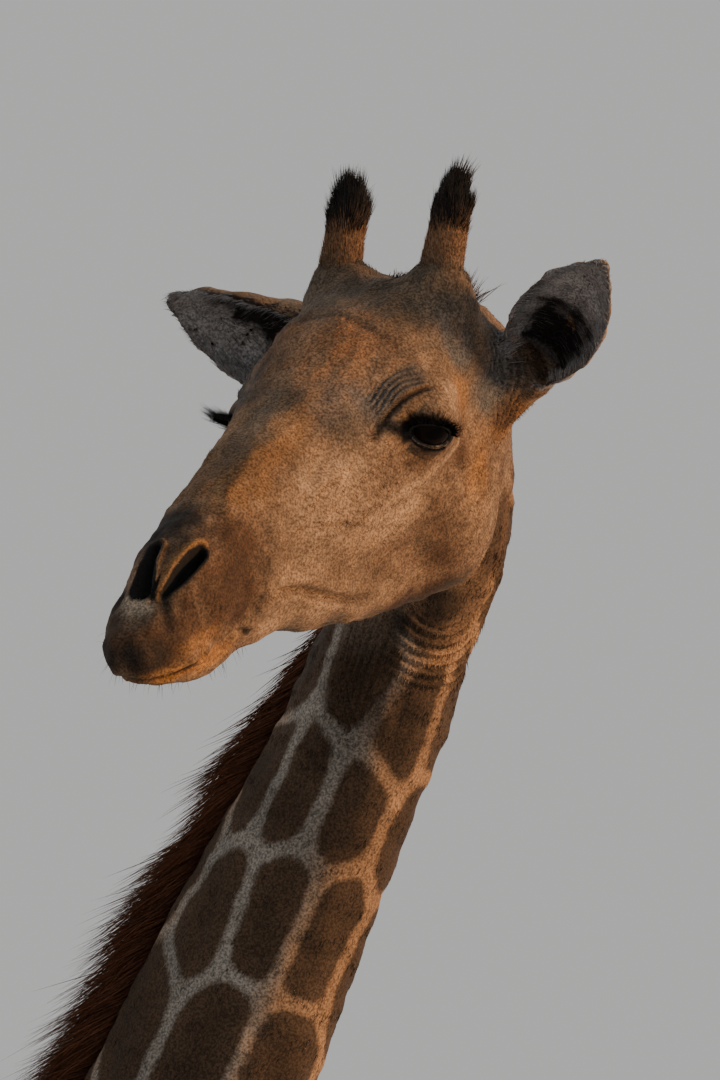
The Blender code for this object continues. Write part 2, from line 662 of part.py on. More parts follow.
head_place = head_frame()
flesh_of_head = add_head_and_neck(head_place)
add_eyes(head_place)
add_ossicones(head_place, flesh_of_head)
add_ears(head_place, flesh_of_head)
flesh_of_body = blended(body_masses(), BODY_VOXEL, 8, BODY_FACES)
add_trunk_and_legs(flesh_of_body)
add_hooves()
add_mane(flesh_of_head, flesh_of_body)
add_tail(flesh_of_body)
centre_on_floor()
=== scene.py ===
"""A life-size giraffe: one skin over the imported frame, with eyes, horns, claws and a coat of hair.

Lengths are in metres. Places on the head are given in the head's own frame: forward to the
muzzle, left, and up. Places on the body are given from the floor under its middle.
"""

import json
import math

import bmesh
import bpy
import numpy as np
from mathutils import Matrix, Vector
from mathutils.bvhtree import BVHTree

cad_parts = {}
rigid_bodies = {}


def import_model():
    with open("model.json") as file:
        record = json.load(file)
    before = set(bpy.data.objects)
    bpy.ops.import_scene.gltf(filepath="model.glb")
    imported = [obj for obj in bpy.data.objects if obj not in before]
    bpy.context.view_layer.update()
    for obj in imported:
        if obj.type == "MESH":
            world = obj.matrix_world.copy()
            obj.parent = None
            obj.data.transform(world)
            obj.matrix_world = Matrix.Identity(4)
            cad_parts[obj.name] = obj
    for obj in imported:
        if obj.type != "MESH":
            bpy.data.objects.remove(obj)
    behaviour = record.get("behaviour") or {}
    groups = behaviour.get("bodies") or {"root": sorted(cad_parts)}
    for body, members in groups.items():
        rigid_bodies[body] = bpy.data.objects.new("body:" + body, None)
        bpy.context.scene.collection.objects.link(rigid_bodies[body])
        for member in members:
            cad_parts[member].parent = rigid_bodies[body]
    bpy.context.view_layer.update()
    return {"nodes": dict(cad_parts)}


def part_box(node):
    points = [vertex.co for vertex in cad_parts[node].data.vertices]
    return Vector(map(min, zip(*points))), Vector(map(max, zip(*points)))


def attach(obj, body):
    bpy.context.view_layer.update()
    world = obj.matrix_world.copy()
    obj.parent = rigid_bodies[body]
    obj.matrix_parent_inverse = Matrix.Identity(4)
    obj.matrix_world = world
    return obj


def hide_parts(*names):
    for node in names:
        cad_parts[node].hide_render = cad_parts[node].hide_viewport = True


for startup in list(bpy.data.objects):
    bpy.data.objects.remove(startup)
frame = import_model()

bl_info = {
    "name": "Giraffe",
    "version": (1, 0, 0),
    "blender": (4, 5, 0),
    "location": "3D View > Sidebar > Giraffe",
    "description": "Builds a life-size giraffe around its packed frame",
    "category": "Add Mesh",
}


def mm(*values):
    """Lengths given in millimetres, in metres."""
    return np.array(values) / 1000


# ---- Stance ----
POLL = np.array((1.363, -0.105, 4))  # crown of the neck, before the frame is centred
HEAD_TURN = (
    Matrix.Rotation(math.radians(-102.2), 3, "Z")
    @ Matrix.Rotation(math.radians(18.7), 3, "Y")
    @ Matrix.Rotation(math.radians(-2.5), 3, "X")
)
TURN = np.array(HEAD_TURN)
UP = np.array((0, 0, 1))
HEAD_LENGTH = 0.63
EYE = np.array((0.208, 0.096, 0.014))
eye_corners = [np.array(corner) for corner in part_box("eye_left")]
SHIFT = sum(eye_corners) / 2 - (POLL + TURN @ EYE)  # how far centring moved the frame
SIDES = {1: "left", -1: "right"}

# ---- Slices and masses of the flesh ----
# Head: share of its length, top, bottom, half width, widest height, squareness above and below.
HEAD_SLICES = (
    (-0.045, 0.07, -0.085, 0.054, 0.005, 2, 2), (0.06, 0.106, -0.148, 0.084, 0.016, 2.2, 2),
    (0.15, 0.122, -0.18, 0.095, 0.026, 2.4, 1.9), (0.26, 0.119, -0.184, 0.097, 0.028, 2.4, 1.8),
    (0.36, 0.104, -0.177, 0.092, 0.018, 2.3, 1.8), (0.46, 0.083, -0.166, 0.08, 0, 2.2, 1.9),
    (0.56, 0.062, -0.152, 0.067, -0.022, 2.1, 2), (0.66, 0.043, -0.138, 0.056, -0.038, 2.2, 2.1),
    (0.76, 0.022, -0.129, 0.048, -0.05, 2.2, 2.2), (0.86, -0.002, -0.128, 0.044, -0.064, 2.2, 2.3),
    (0.93, -0.028, -0.128, 0.041, -0.078, 2.1, 2.3), (0.985, -0.054, -0.118, 0.033, -0.086, 2, 2.1),
)
# Neck: drop below the poll, forward and left of it, half depth, half width, twist in degrees.
NECK_SLICES = (
    (-0.02, 0.006, 0.01, 0.05, 0.05, -100), (0.06, -0.03, 0.064, 0.08, 0.068, -92),
    (0.16, -0.062, 0.105, 0.09, 0.076, -62), (0.25, -0.102, 0.105, 0.089, 0.07, -30),
    (0.33, -0.132, 0.105, 0.091, 0.067, -12), (0.48, -0.209, 0.105, 0.104, 0.073, -4),
    (0.67, -0.297, 0.105, 0.119, 0.082, 0), (0.95, -0.44, 0.105, 0.15, 0.098, 0),
    (1.25, -0.61, 0.105, 0.205, 0.125, 0), (1.5, -0.77, 0.105, 0.28, 0.165, 0),
    (1.7, -0.89, 0.105, 0.34, 0.195, 0), (1.88, -0.955, 0.105, 0.305, 0.205, 0),
    (2.06, -0.985, 0.105, 0.275, 0.205, 0), (2.24, -1.005, 0.105, 0.245, 0.18, 0),
    (2.4, -1.035, 0.105, 0.2, 0.14, 0),
)
# Trunk: forward, top, bottom, half width, height of the widest line.
TRUNK_SLICES = mm(
    (560, 2340, 1620, 170, 1940), (490, 2500, 1535, 225, 1955), (365, 2610, 1495, 265, 1950),
    (185, 2570, 1490, 295, 1930), (-50, 2460, 1500, 325, 1930), (-265, 2390, 1540, 325, 1950),
    (-465, 2335, 1640, 295, 1980), (-660, 2280, 1750, 250, 2000), (-825, 2190, 1840, 180, 2020),
    (-905, 2100, 1920, 80, 2020),
)
# Legs: height, forward of the hoof, out from the hoof, half depth, half width.
FORE_SLICES = mm(
    (2250, -70, 10, 130, 60), (1950, -30, 40, 175, 90), (1720, -35, 42, 150, 92),
    (1580, -45, 38, 122, 84), (1420, -28, 30, 96, 73), (1150, -20, 18, 73, 61), (970, -18, 10, 60, 56),
    (860, -12, 6, 67, 64), (770, -14, 4, 58, 58), (670, -24, 2, 43, 42), (450, -30, 0, 39, 37),
    (280, -34, 0, 43, 40), (200, -34, 0, 57, 52), (145, -16, 0, 50, 49), (100, -4, 0, 66, 60),
    (70, 0, 0, 60, 54),
)
HIND_SLICES = mm(
    (2200, 60, -10, 180, 80), (1950, 60, 20, 245, 110), (1720, 85, 30, 225, 112),
    (1550, 125, 34, 180, 100), (1380, 120, 30, 135, 85), (1200, 30, 22, 98, 68),
    (1050, -52, 14, 74, 53), (940, -92, 8, 78, 48), (840, -88, 4, 62, 47), (700, -74, 2, 46, 41),
    (450, -58, 0, 40, 37), (270, -50, 0, 44, 40), (195, -44, 0, 56, 51), (145, -20, 0, 49, 48),
    (100, -4, 0, 64, 58), (70, 0, 0, 58, 52),
)
LEG_SPREAD = 0.155
ELBOW_HEIGHT = 1.6
# Each leg's slices, its hoof's place along the body, and how far the hoof steps ahead of it.
LEGS = {
    ("fore", 1): (FORE_SLICES, 0.535, 0.06),
    ("fore", -1): (FORE_SLICES, 0.535, -0.055),
    ("hind", 1): (HIND_SLICES, -0.715, -0.075),
    ("hind", -1): (HIND_SLICES, -0.715, 0.085),
}
# Tail: height, behind its root, radius.
TAIL_ROOT = -0.885
TAIL_SLICES = mm(
    (2100, 45, 44), (1950, -55, 36), (1600, -85, 24), (1400, -90, 19), (1240, -92, 18),
)
# Masses, mirrored to both sides: centre and radii in millimetres, tilt about the cross axis, how
# softly they melt in.
HEAD_MASSES = {
    "forehead": ((185, 0, 90), (85, 60, 34), 8, 0.02),
    "brow": ((198, 76, 44), (56, 30, 28), 8, 0.012),
    "orbit": ((192, 80, 12), (48, 38, 42), 10, 0.014),
    "cheekbone": ((265, 58, -18), (110, 20, 24), 14, 0.016),
    "jaw_muscle": ((125, 50, -85), (85, 36, 88), 0, 0.02),
    "jaw_edge": ((240, 34, -138), (160, 26, 28), -8, 0.014),
    "nostril_pad": ((520, 20, -34), (48, 24, 26), 34, 0.012),
    "upper_lip": ((572, 14, -90), (44, 34, 38), 10, 0.012),
    "ear_root": ((26, 80, 8), (36, 36, 40), 0, 0.018),
    "ossicone_root": ((94, 48, 92), (52, 42, 40), 0, 0.02),
    "lower_lip": ((512, 0, -124), (52, 32, 20), 4, 0.008),
    "chin": ((445, 0, -122), (80, 34, 20), 4, 0.01),
}
BODY_MASSES = {
    "shoulder": ((490, 150, 2080), (180, 85, 420), -14, 0.06),
    "shoulder_point": ((560, 130, 1920), (110, 80, 200), -8, 0.05),
    "haunch": ((-645, 140, 1950), (230, 120, 310), 10, 0.06),
    "stifle": ((-500, 165, 1540), (100, 66, 160), 20, 0.05),
}
THROAT = np.array((-0.03, 0, -0.115))
THROAT_WAY = np.array((-0.722, 0, -0.692))  # from the head towards the neck

# ---- Ears and horns ----
EAR_ROOT = Vector((0.035, 0.09, 0.004))
EAR_TIPS = {1: Vector((0.072, 0.229, 0.134)), -1: Vector((0.08, -0.258, 0.097))}
EAR_WIDTHS = {1: 0.9, -1: 1.05}
EAR_BOWS = {1: 0, -1: 0.01}
EAR_FACES = Vector((0.95, 0, -0.25))
# share of the ear's length, half width, half angle of its arc in degrees
EAR_OUTLINE = (
    (0, 0.026, 140), (0.15, 0.036, 122), (0.3, 0.045, 103), (0.5, 0.048, 85),
    (0.7, 0.041, 70), (0.87, 0.025, 58), (0.96, 0.012, 48), (1, 0.006, 42),
)
EAR_HALF_THICKNESS = 0.0029
HORN_ROOT = Vector((0.104, 0.054, 0.08))
HORN_TIPS = {1: Vector((0.05, 0.06, 0.225)), -1: Vector((0.05, -0.065, 0.214))}
VIEW_BEARING = math.radians(20)  # where the model is looked at from, to the left of straight ahead
HORN_OUTLINE = (
    (0, 0.018), (0.2, 0.0205), (0.34, 0.0205), (0.44, 0.02), (0.54, 0.019), (0.64, 0.0182),
    (0.72, 0.0172), (0.77, 0.013),
)
HORN_BENDS = {1: 0.0095, -1: 0.013}  # how far each horn's top bows towards the left
HORN_HAIR_STARTS = 0.58  # share of the horn where its black brush begins

# ---- Eyes ----
BALL_RADIUS = 0.024
LID_RADIUS = 0.0288
SOCKET_RADIUS = 0.0228
LIDS_MIDDLE, LIDS_HALF = 45, 51  # bearing of the lids' opening from straight ahead, in degrees
GAZE = np.array((0.66, 0.72, -0.2)) / math.sqrt(0.66**2 + 0.72**2 + 0.2**2)

# ---- Lines of the face ----
NOSTRIL_LINE = mm((532, 33.5, -18), (543, 31.5, -21), (557, 29, -27), (571, 26.5, -34), (587, 22, -42))
NOSTRIL_INWARD = np.array((-0.45, -0.5, -0.74))
NOSTRIL_UP = np.array((0.1, -0.8, 0.59))  # from the slit towards its rim
RIGHT_NOSTRIL_LINE = mm((549, -6, -8), (567, -4, -18), (582, -2, -27), (592, 0, -35))
MUZZLE_MIDDLE = 0.012  # the nostrils part this far to the left of the head's middle
MUZZLE_GROOVE = mm((590, 23, -45), (600, 29, -56), (606, 33, -68))
MOUTH_LINE = mm(
    (646, 0, -108), (632, 12, -113), (606, 23.5, -115.5), (584, 34, -112.5), (548, 37.5, -112),
    (512, 36, -110), (487, 34.5, -109), (470, 34, -113),
)
MOUTH_FOLD = mm(
    (452, 45, -92), (434, 47, -87), (396, 49, -94), (350, 52, -116), (321, 54, -127), (289, 56, -135),
)

# Folds, creases and vessels, on the left side.
BROW_LINE = mm(
    (270, 73, 20), (257, 83, 37), (242, 90, 47), (226, 97, 52), (209, 101, 53), (193, 104, 49),
)
BROW_UP = np.array((0.16, -0.54, 0.826))  # along the skin, from the crease to the folds
CROWN_LINE = mm((196, -37, 113), (206, -3, 120), (206, 24, 117), (207, 46, 106), (202, 66, 90))
EYE_STRIPE = mm(
    (160, 97, -17), (172, 96, -27), (204, 90, -36), (235, 85, -42), (262, 80, -47), (285, 77, -48),
)
CORNER_LINE = mm((263, 82, 31), (251, 88, 21), (240, 93, 14))
TEAR_LINE = mm((263, 85, 3), (258, 84, -18), (256, 83, -34))
VESSEL_LINES = (
    mm((405, 22, 40), (435, 23, 31), (458, 23, 21), (479, 33, 4), (470, 42, -10)),
    mm((470, 48, -50), (430, 53, -40), (385, 60, -30), (340, 70, -40), (285, 78, -62)),
    mm((400, 58, -30), (362, 60, -6), (315, 68, 6)),
    mm((300, 73, -100), (240, 78, -85), (190, 82, -60)),
)
CREST_LINE = mm((440, 40, 0), (428, 52, -32), (446, 49, -70), (458, 43, -92), (474, 33, -113))

# ---- Markings ----
# Middles of the patches on the right of the upper neck: drop below the poll, bearing round the neck.
NECK_PATCHES = (
    (0.262, -162), (0.37, -150), (0.385, -103), (0.288, -84), (0.343, -36), (0.412, -48),
    (0.335, 4), (0.43, 0), (0.508, -124), (0.515, -72), (0.535, -28), (0.61, -150),
    (0.64, -78), (0.665, -28), (0.455, -178), (0.56, 8),
)
NECK_AXIS = np.array((-0.445, 0, -0.895))


# ---- Curves and blends ----
def smooth(rows, at):
    """A table's values at the places asked for, on a smooth curve through its rows."""
    table = np.array(rows)
    table = table[table[:, 0].argsort()]
    place, value = table[:, 0], table[:, 1:]
    slope = np.gradient(value, place, axis=0)
    at = np.clip(at, place[0], place[-1])
    first = np.clip(np.searchsorted(place, at) - 1, 0, len(place) - 2)
    length = (place[first + 1] - place[first])[:, None]
    t = (at[:, None] - place[first][:, None]) / length
    return (
        (2 * t**3 - 3 * t**2 + 1) * value[first]
        + (t**3 - 2 * t**2 + t) * slope[first] * length
        + (3 * t**2 - 2 * t**3) * value[first + 1]
        + (t**3 - t**2) * slope[first + 1] * length
    ).T


def eased(value, low, high):
    """0 below low, 1 above high, and smooth between them."""
    t = np.clip((value - low) / (high - low), 0, 1)
    return t * t * (3 - 2 * t)


def faded(value, low, high):
    """1 below low and 0 above high."""
    return 1 - eased(value, low, high)


def band(value, low, high, fade, end):
    """0 below low, 1 from high to fade, and 0 again past the end."""
    return eased(value, low, high) * faded(value, fade, end)


def peak(value, width):
    """1 where the value is nought, dying away over this width."""
    return np.exp(-np.square(value / width))


def melted(first, second, reach):
    """The nearer of two distances, rounded off where they meet."""
    overlap = np.maximum(reach - np.abs(first - second), 0)
    return np.minimum(first, second) - overlap * overlap / (4 * reach)


def mixed(first, second, share):
    """The first vectors, turning into the second as the share grows to 1."""
    share = share[:, None]
    return np.array(first) * (1 - share) + np.array(second) * share


def xyz(x, y, z):
    """Vectors from their parts: arrays, or single numbers that all of them share."""
    return np.stack(np.broadcast_arrays(x, y, z), 1)


def unit(vectors):
    return vectors / np.maximum(np.linalg.norm(vectors, axis=-1, keepdims=True), 1e-9)


def to_head(points):
    return (points - POLL - SHIFT) @ TURN


def from_head(points):
    return points @ TURN.T + POLL + SHIFT


def folded(points):
    """Places with their sideways part made positive, as the animal's sides match."""
    return points * (1, 0, 1) + np.abs(points * (0, 1, 0))


# ---- Distance to the flesh ----
def slice_distance(across, up, half_width, half_height, power, past=0, depth=1):
    """Distance outside a rounded slice, or outside the dome past its end."""
    s = np.abs(across / half_width) ** power + np.abs(up / half_height) ** power
    s = np.sqrt(s ** (2 / power) + (past / depth) ** 2)
    away = np.sqrt(across * across + up * up + past * past)
    return np.maximum(away, 1e-5) * (1 - 1 / np.maximum(s, 1e-4))


def mass_distance(points, centre, radii, tilt):
    turn = math.radians(tilt)
    x, y, z = (points - centre).T
    x, z = math.cos(turn) * x - math.sin(turn) * z, math.sin(turn) * x + math.cos(turn) * z
    local = np.stack((x, y, z), 1)
    near = np.linalg.norm(local / radii, axis=1)
    steep = np.linalg.norm(local / np.square(radii), axis=1)
    return near * (near - 1) / np.maximum(steep, 1e-6)


def past_ends(value, low, high):
    return np.maximum(low - value, 0) + np.maximum(value - high, 0)


def horn_ends(side):
    """The root and tip of the horn on one side, in the head's frame."""
    return np.array((HORN_ROOT.x, side * HORN_ROOT.y, HORN_ROOT.z)), np.array(HORN_TIPS[side])


def with_masses(found, points, masses):
    """The distance with rounded masses melted in on both sides."""
    side = folded(points)
    for centre, radii, tilt, reach in masses.values():
        found = melted(found, mass_distance(side, *mm(centre, radii), tilt), reach)
    return found


def uneven_slice(across, height, top, bottom, half_width, middle, above, below, past, depth):
    """Distance outside a slice whose upper and lower halves differ."""
    upper = height > middle
    half_height = np.where(upper, top - middle, middle - bottom)
    power = np.where(upper, above, below)
    return slice_distance(across, height - middle, half_width, half_height, power, past, depth)


def head_distance(points):
    """In the head's frame, without the ears."""
    x, y, z = points.T
    past = past_ends(x, HEAD_SLICES[0][0] * HEAD_LENGTH, HEAD_SLICES[-1][0] * HEAD_LENGTH)
    found = uneven_slice(y, z, *smooth(HEAD_SLICES, x / HEAD_LENGTH), past, 0.03)
    found = with_masses(found, points, HEAD_MASSES)
    for side in SIDES:
        root, tip = horn_ends(side)
        base = np.array((root - 0.1 * (tip - root), root + 0.42 * (tip - root)))
        away, share = line_distance(points, base)
        found = melted(found, away - 0.0315 + 0.0125 * share, 0.026)
    return found


def line_distance(points, line):
    """Distance to a line of straight lengths, and the share of it passed at the nearest place."""
    nearest, share = np.full(len(points), 9.0), np.zeros(len(points))
    for i, (start, end) in enumerate(zip(line, line[1:])):
        way = end - start
        t = np.clip((points - start) @ way / (way @ way), 0, 1)
        away = np.linalg.norm(points - start - t[:, None] * way, axis=1)
        closer = away < nearest
        nearest = np.where(closer, away, nearest)
        share = np.where(closer, (i + t) / (len(line) - 1), share)
    return nearest, share


def ear_sheet(side, lengths=28, widths=20):
    """Points over one ear's cup in the head's frame, from its tube to its tip."""
    root = Vector((EAR_ROOT.x, side * EAR_ROOT.y, EAR_ROOT.z))
    tip = EAR_TIPS[side]
    along = (tip - root).normalized()
    opening = (EAR_FACES - along * EAR_FACES.dot(along)).normalized()
    across = along.cross(opening)
    shares = np.linspace(0.0, 1.0, lengths)
    sheet = []
    for share, half_width, arc in zip(shares, *smooth(EAR_OUTLINE, shares)):
        arc, half_width = math.radians(arc), half_width * EAR_WIDTHS[side]
        radius = half_width / math.sin(min(arc, 0.5 * math.pi))
        centre = root.lerp(tip, share) + across * side * EAR_BOWS[side] * math.sin(math.pi * share)
        for k in range(widths + 1):
            angle = arc * (2 * k / widths - 1)
            depth = radius * (math.cos(angle) - math.cos(arc))
            sheet.append(centre + across * radius * math.sin(angle) - opening * depth)
    return np.array(sheet).reshape(lengths, widths + 1, 3), np.array(opening)


class Ear:
    """One ear's sheet, ready to be measured from."""

    def __init__(self, side):
        self.sheet, self.opening = ear_sheet(side)
        self.way = self.sheet[-1].mean(0) - self.sheet[0].mean(0)
        rows, columns = self.sheet.shape[:2]
        corners = np.arange(rows * columns).reshape(rows, columns)
        quads = np.stack((corners[:-1, :-1], corners[:-1, 1:], corners[1:, 1:], corners[1:, :-1]), -1)
        places = self.sheet.reshape(-1, 3)
        self.tree = BVHTree.FromPolygons([Vector(p) for p in places], quads.reshape(-1, 4).tolist())
        along, across = np.indices((rows - 1, columns - 1))
        self.share = ((along + 0.5) / (rows - 1)).ravel()
        self.across = ((across + 0.5) / (columns - 1)).ravel()
        self.rim = np.abs(self.across * 2 - 1)
        self.low, self.high = places.min(0) - 0.03, places.max(0) + 0.03

    def nearest(self, points):
        """For points near the ear: which, distance, face index, and the way from sheet to point."""
        near = np.flatnonzero(((points > self.low) & (points < self.high)).all(1))
        away, face = np.empty(len(near)), np.empty(len(near), int)
        offset = np.empty((len(near), 3))
        for row, index in enumerate(near):
            place, _, face[row], away[row] = self.tree.find_nearest(points[index])
            offset[row] = points[index] - np.array(place)
        return near, away, face, offset


EARS = {side: Ear(side) for side in SIDES}


def ears_distance(points, thin):
    found = np.full(len(points), 9.0)
    for ear in EARS.values():
        near, away, face, _ = ear.nearest(points)
        edge = np.maximum(eased(ear.rim[face], 0.75, 1), eased(ear.share[face], 0.85, 1))
        found[near] = np.minimum(found[near], away - EAR_HALF_THICKNESS + thin * 0.0012 * edge)
    return found


def neck_distance(points):
    x, y, z = (points - SHIFT).T
    drop = POLL[2] - z
    forward, left, half_depth, half_width, twist = smooth(NECK_SLICES, drop)
    x, y = x - POLL[0] - forward, y - POLL[1] - left
    c, s = np.cos(np.radians(twist)), np.sin(np.radians(twist))
    along, across = c * x + s * y, c * y - s * x
    half_width = half_width * (1 + 0.18 * np.clip(along / half_depth, -1, 1))
    past = past_ends(drop, NECK_SLICES[0][0], NECK_SLICES[-1][0])
    depth = np.where(drop < 0, 0.03, 0.1)
    return slice_distance(along, across, half_depth, half_width, 2, past, depth)


def trunk_distance(points):
    x, y, z = points.T
    past = past_ends(x, TRUNK_SLICES[-1][0], TRUNK_SLICES[0][0])
    depth = np.where(x > 0, 0.09, 0.04)
    return uneven_slice(y, z, *smooth(TRUNK_SLICES, x), 2, 2.3, past, depth)


def leg_distance(points, slices, hoof_x, side, step):
    x, y, z = points.T
    forward, outward, half_depth, half_width = smooth(slices, z)
    past = past_ends(z, 0.092, slices[0][0])
    depth = np.where(z < 1, 0.01, 0.05)
    x, y = x - hoof_x - forward - swing(z, step), y - side * (LEG_SPREAD + outward)
    return slice_distance(x, y, half_depth, half_width, 2.15, past, depth)


def swing(z, step):
    """How far a leg swings forwards at each height, from nothing at the elbow to a step at the floor."""
    return step * np.maximum(0, 1 - z / ELBOW_HEIGHT)


def tail_distance(points):
    x, y, z = points.T
    back, radius = smooth(TAIL_SLICES, z)
    past = past_ends(z, TAIL_SLICES[-1][0], TAIL_SLICES[0][0])
    return slice_distance(x - TAIL_ROOT - back, y, radius, 0.9 * radius, 2, past, 0.02)


def coat_depth(points):
    """How far the skin lies inside the form: less where the hair is short."""
    drop = POLL[2] + SHIFT[2] - points[:, 2]
    return 0.0018 + 0.0032 * eased(drop, 0.3, 1.2)


def upper_skin(points, thin=0):
    """Distance to the skin of the head, ears and neck."""
    local = to_head(points)
    found = melted(head_distance(local), neck_distance(points), 0.018) + coat_depth(points)
    return melted(found, ears_distance(local, thin), 0.01)


def neck_skin(points):
    return neck_distance(points) + coat_depth(points)


def lower_skin(points):
    """Distance to the skin of the body, legs, tail and lower neck."""
    local = points - SHIFT
    found = melted(trunk_distance(local), neck_distance(points), 0.1)
    found = with_masses(found, local, BODY_MASSES)
    for (_, side), (slices, hoof_x, step) in LEGS.items():
        found = melted(found, leg_distance(local, slices, hoof_x, side, step), 0.045)
    return melted(found, tail_distance(local), 0.025) + coat_depth(points)


# ---- Skin from distances ----
def polygonised(distance, low, high, step):
    """Corners and square faces of the surface where the distance is nought, open at the box."""
    ratio = 4  # fine steps to each coarse one
    ways = np.eye(3, dtype=int)
    low = np.array(low)
    counts = np.ceil((np.array(high) - low) / (ratio * step)).astype(int)
    cells = np.stack(np.meshgrid(*map(np.arange, counts), indexing="ij"), -1).reshape(-1, 3)
    rough = distance(low + (cells + 0.5) * ratio * step)
    values = np.sign(rough).reshape(counts)
    for axis in range(3):
        values = np.repeat(values, ratio, axis)
    values = np.pad(values, ((0, 1),) * 3, mode="edge").astype(float)
    near = cells[np.abs(rough) < 1.4 * ratio * step] * ratio
    wanted = np.zeros(values.shape, bool)
    for offset in np.ndindex((ratio + 1,) * 3):
        wanted[tuple((near + offset).T)] = True
    places = np.argwhere(wanted)
    values[wanted] = distance(low + places * step)
    inside = values < 0
    shape = np.array(values.shape) - 1
    corners = [np.array(c) for c in np.ndindex(2, 2, 2)]
    total = sum(inside[tuple(slice(a, a + n) for a, n in zip(c, shape))].astype(int) for c in corners)
    cells = np.argwhere((total > 0) & (total < 8))
    number = np.full(shape, -1)
    number[tuple(cells.T)] = np.arange(len(cells))
    summed, crossings = np.zeros((len(cells), 3)), np.zeros(len(cells))
    for axis, way in enumerate(ways):
        for c in corners:
            if c[axis]:
                continue
            start, end = values[tuple((cells + c).T)], values[tuple((cells + c + way).T)]
            crosses = (start < 0) != (end < 0)
            share = np.where(crosses, start / np.where(crosses, start - end, 1.0), 0.0)
            summed += crosses[:, None] * (c + share[:, None] * way)
            crossings += crosses
    points = low + (cells + summed / crossings[:, None]) * step
    faces = []
    for axis, way in enumerate(ways):
        across, up = ways[(axis + 1) % 3], ways[(axis + 2) % 3]
        nearer = inside[tuple(slice(0, n - w) for n, w in zip(values.shape, way))]
        farther = inside[tuple(slice(w, n) for n, w in zip(values.shape, way))]
        edges = np.argwhere(nearer != farther)
        edges = edges[np.all(((edges > 0) & (edges < shape)) | (way > 0), axis=1)]
        around = [number[tuple((edges - back).T)] for back in (across + up, up, 0 * up, across)]
        quads = np.stack(around, 1)
        outward = inside[tuple(edges.T)]
        faces.append(np.where(outward[:, None], quads, quads[:, ::-1]))
    return points, np.concatenate(faces)


def slope_of(distance, points, step=0.0012):
    ways = np.eye(3) * step
    return np.stack([distance(points + w) - distance(points - w) for w in ways], 1) / (2 * step)


def settled(points, distance, passes=3, furthest=0.006):
    """The points moved onto the surface where the distance is nought."""
    for _ in range(passes):
        slope = slope_of(distance, points)
        steep = np.maximum((slope * slope).sum(1, keepdims=True), 0.1)
        move = distance(points)[:, None] * slope / steep
        length = np.linalg.norm(move, axis=1, keepdims=True)
        points = points - move * np.minimum(1, furthest / np.maximum(length, 1e-9))
    return points


def edges_of(faces):
    pairs = np.concatenate([np.stack((faces[:, k], faces[:, k - 1]), 1) for k in range(4)])
    return np.unique(np.sort(pairs, 1), axis=0)


def relaxed(points, edges, passes, weight):
    """The points drawn towards their neighbours, by each point's own weight."""
    count = len(points)
    near, far = edges.T
    neighbours = np.maximum(np.bincount(edges.ravel(), minlength=count), 1)[:, None]
    pull = 0.5 * weight[:, None]
    for _ in range(passes):
        columns = [np.bincount(near, p[far], count) + np.bincount(far, p[near], count) for p in points.T]
        points = points + pull * (np.stack(columns, 1) / neighbours - points)
    return points


def ear_nearness(points):
    """Per point: 1 on an ear and 0 away from both, with the side and what of the ear is nearest."""
    local = to_head(points)
    names = "on", "share", "rim", "across", "inside", "side"
    found = {name: np.zeros(len(points)) for name in names}
    for side, ear in EARS.items():
        near, away, face, offset = ear.nearest(local)
        on = faded(away, 0.0045, 0.012)
        better = on > found["on"][near]
        face, inside = face[better], offset[better] @ ear.opening > 0
        values = on[better], ear.share[face], ear.rim[face], ear.across[face], inside, side
        for name, value in zip(names, values):
            found[name][near[better]] = value
    return found


# ---- Fine forms of the face ----
# Spacings of the folds.
BROW_FOLD, STRAND, WRINKLE, THROAT_FOLD = 0.0054, 0.0075, 0.0085, 0.01
# Heights and depths of the skin's forms.
BROW_FOLDS, BROW_CREASE, EYE_HOLLOW = 0.0009, 0.0055, 0.0014
NOSTRIL_RIM, NOSTRIL_FOLD, NOSTRIL_DEPTH = 0.0012, 0.0026, 0.02
MOUTH_DEPTH, LIP_EDGE, FOLD_DEPTH, FOLD_EDGE = 0.0055, 0.0016, 0.007, 0.0028
WRINKLES, STRANDS, THROAT_FOLDS, NECK_FOLDS = 0.0013, 0.0011, 0.0022, 0.0018
# Soft forms of the face: place and radii in millimetres, how far they stand out.
FACE_FORMS = (
    ((186, 110, 36), (26, 30, 18), 0.0035),  # upper lid
    ((470, 10, -128), (34, 50, 22), -0.005),  # behind the chin
    ((560, 10, -125), (50, 50, 22), 0.002),  # lower lip
    ((235, 82, -100), (60, 40, 30), -0.003),  # cheek
    ((330, 62, 20), (70, 30, 28), -0.0055),  # before the eye
    ((410, 50, -60), (40, 30, 28), -0.004),  # behind the muzzle
    ((300, 76, -42), (70, 30, 18), 0.0035),  # cheekbone
    ((400, 26, 38), (80, 18, 22), 0.0035),  # nose
)
# Ridges and creases along lines of the face: line, width, how far they stand out.
FACE_RIDGES = (
    (MUZZLE_GROOVE, 0.0045, -0.003),
    *((vessel, 0.0034, 0.0028) for vessel in VESSEL_LINES),
    (CREST_LINE, 0.0075, 0.0042),
    (EYE_STRIPE, 0.0045, 0.0018),
    (TEAR_LINE, 0.0016, -0.0012),
    (CROWN_LINE, 0.005, -0.0018),
)


def lid_edges(t):
    """Heights on the eyeball, in degrees: the corners' level and both lids' edges, across the eye."""
    corner = -17 - 16 * t
    arch = np.sqrt(np.maximum(1 - t * t, 0))
    return corner, corner + 26 * arch**1.1, corner - 31 * arch


def over_line(local, line, up, reach=0.01):
    """How far over a line a place lies, measured along the skin, with its distance and share passed."""
    away, share = line_distance(local, line)
    above, _ = line_distance(local, line + reach * up)
    return (away * away - above * above) / (2 * reach) + 0.5 * reach, away, share


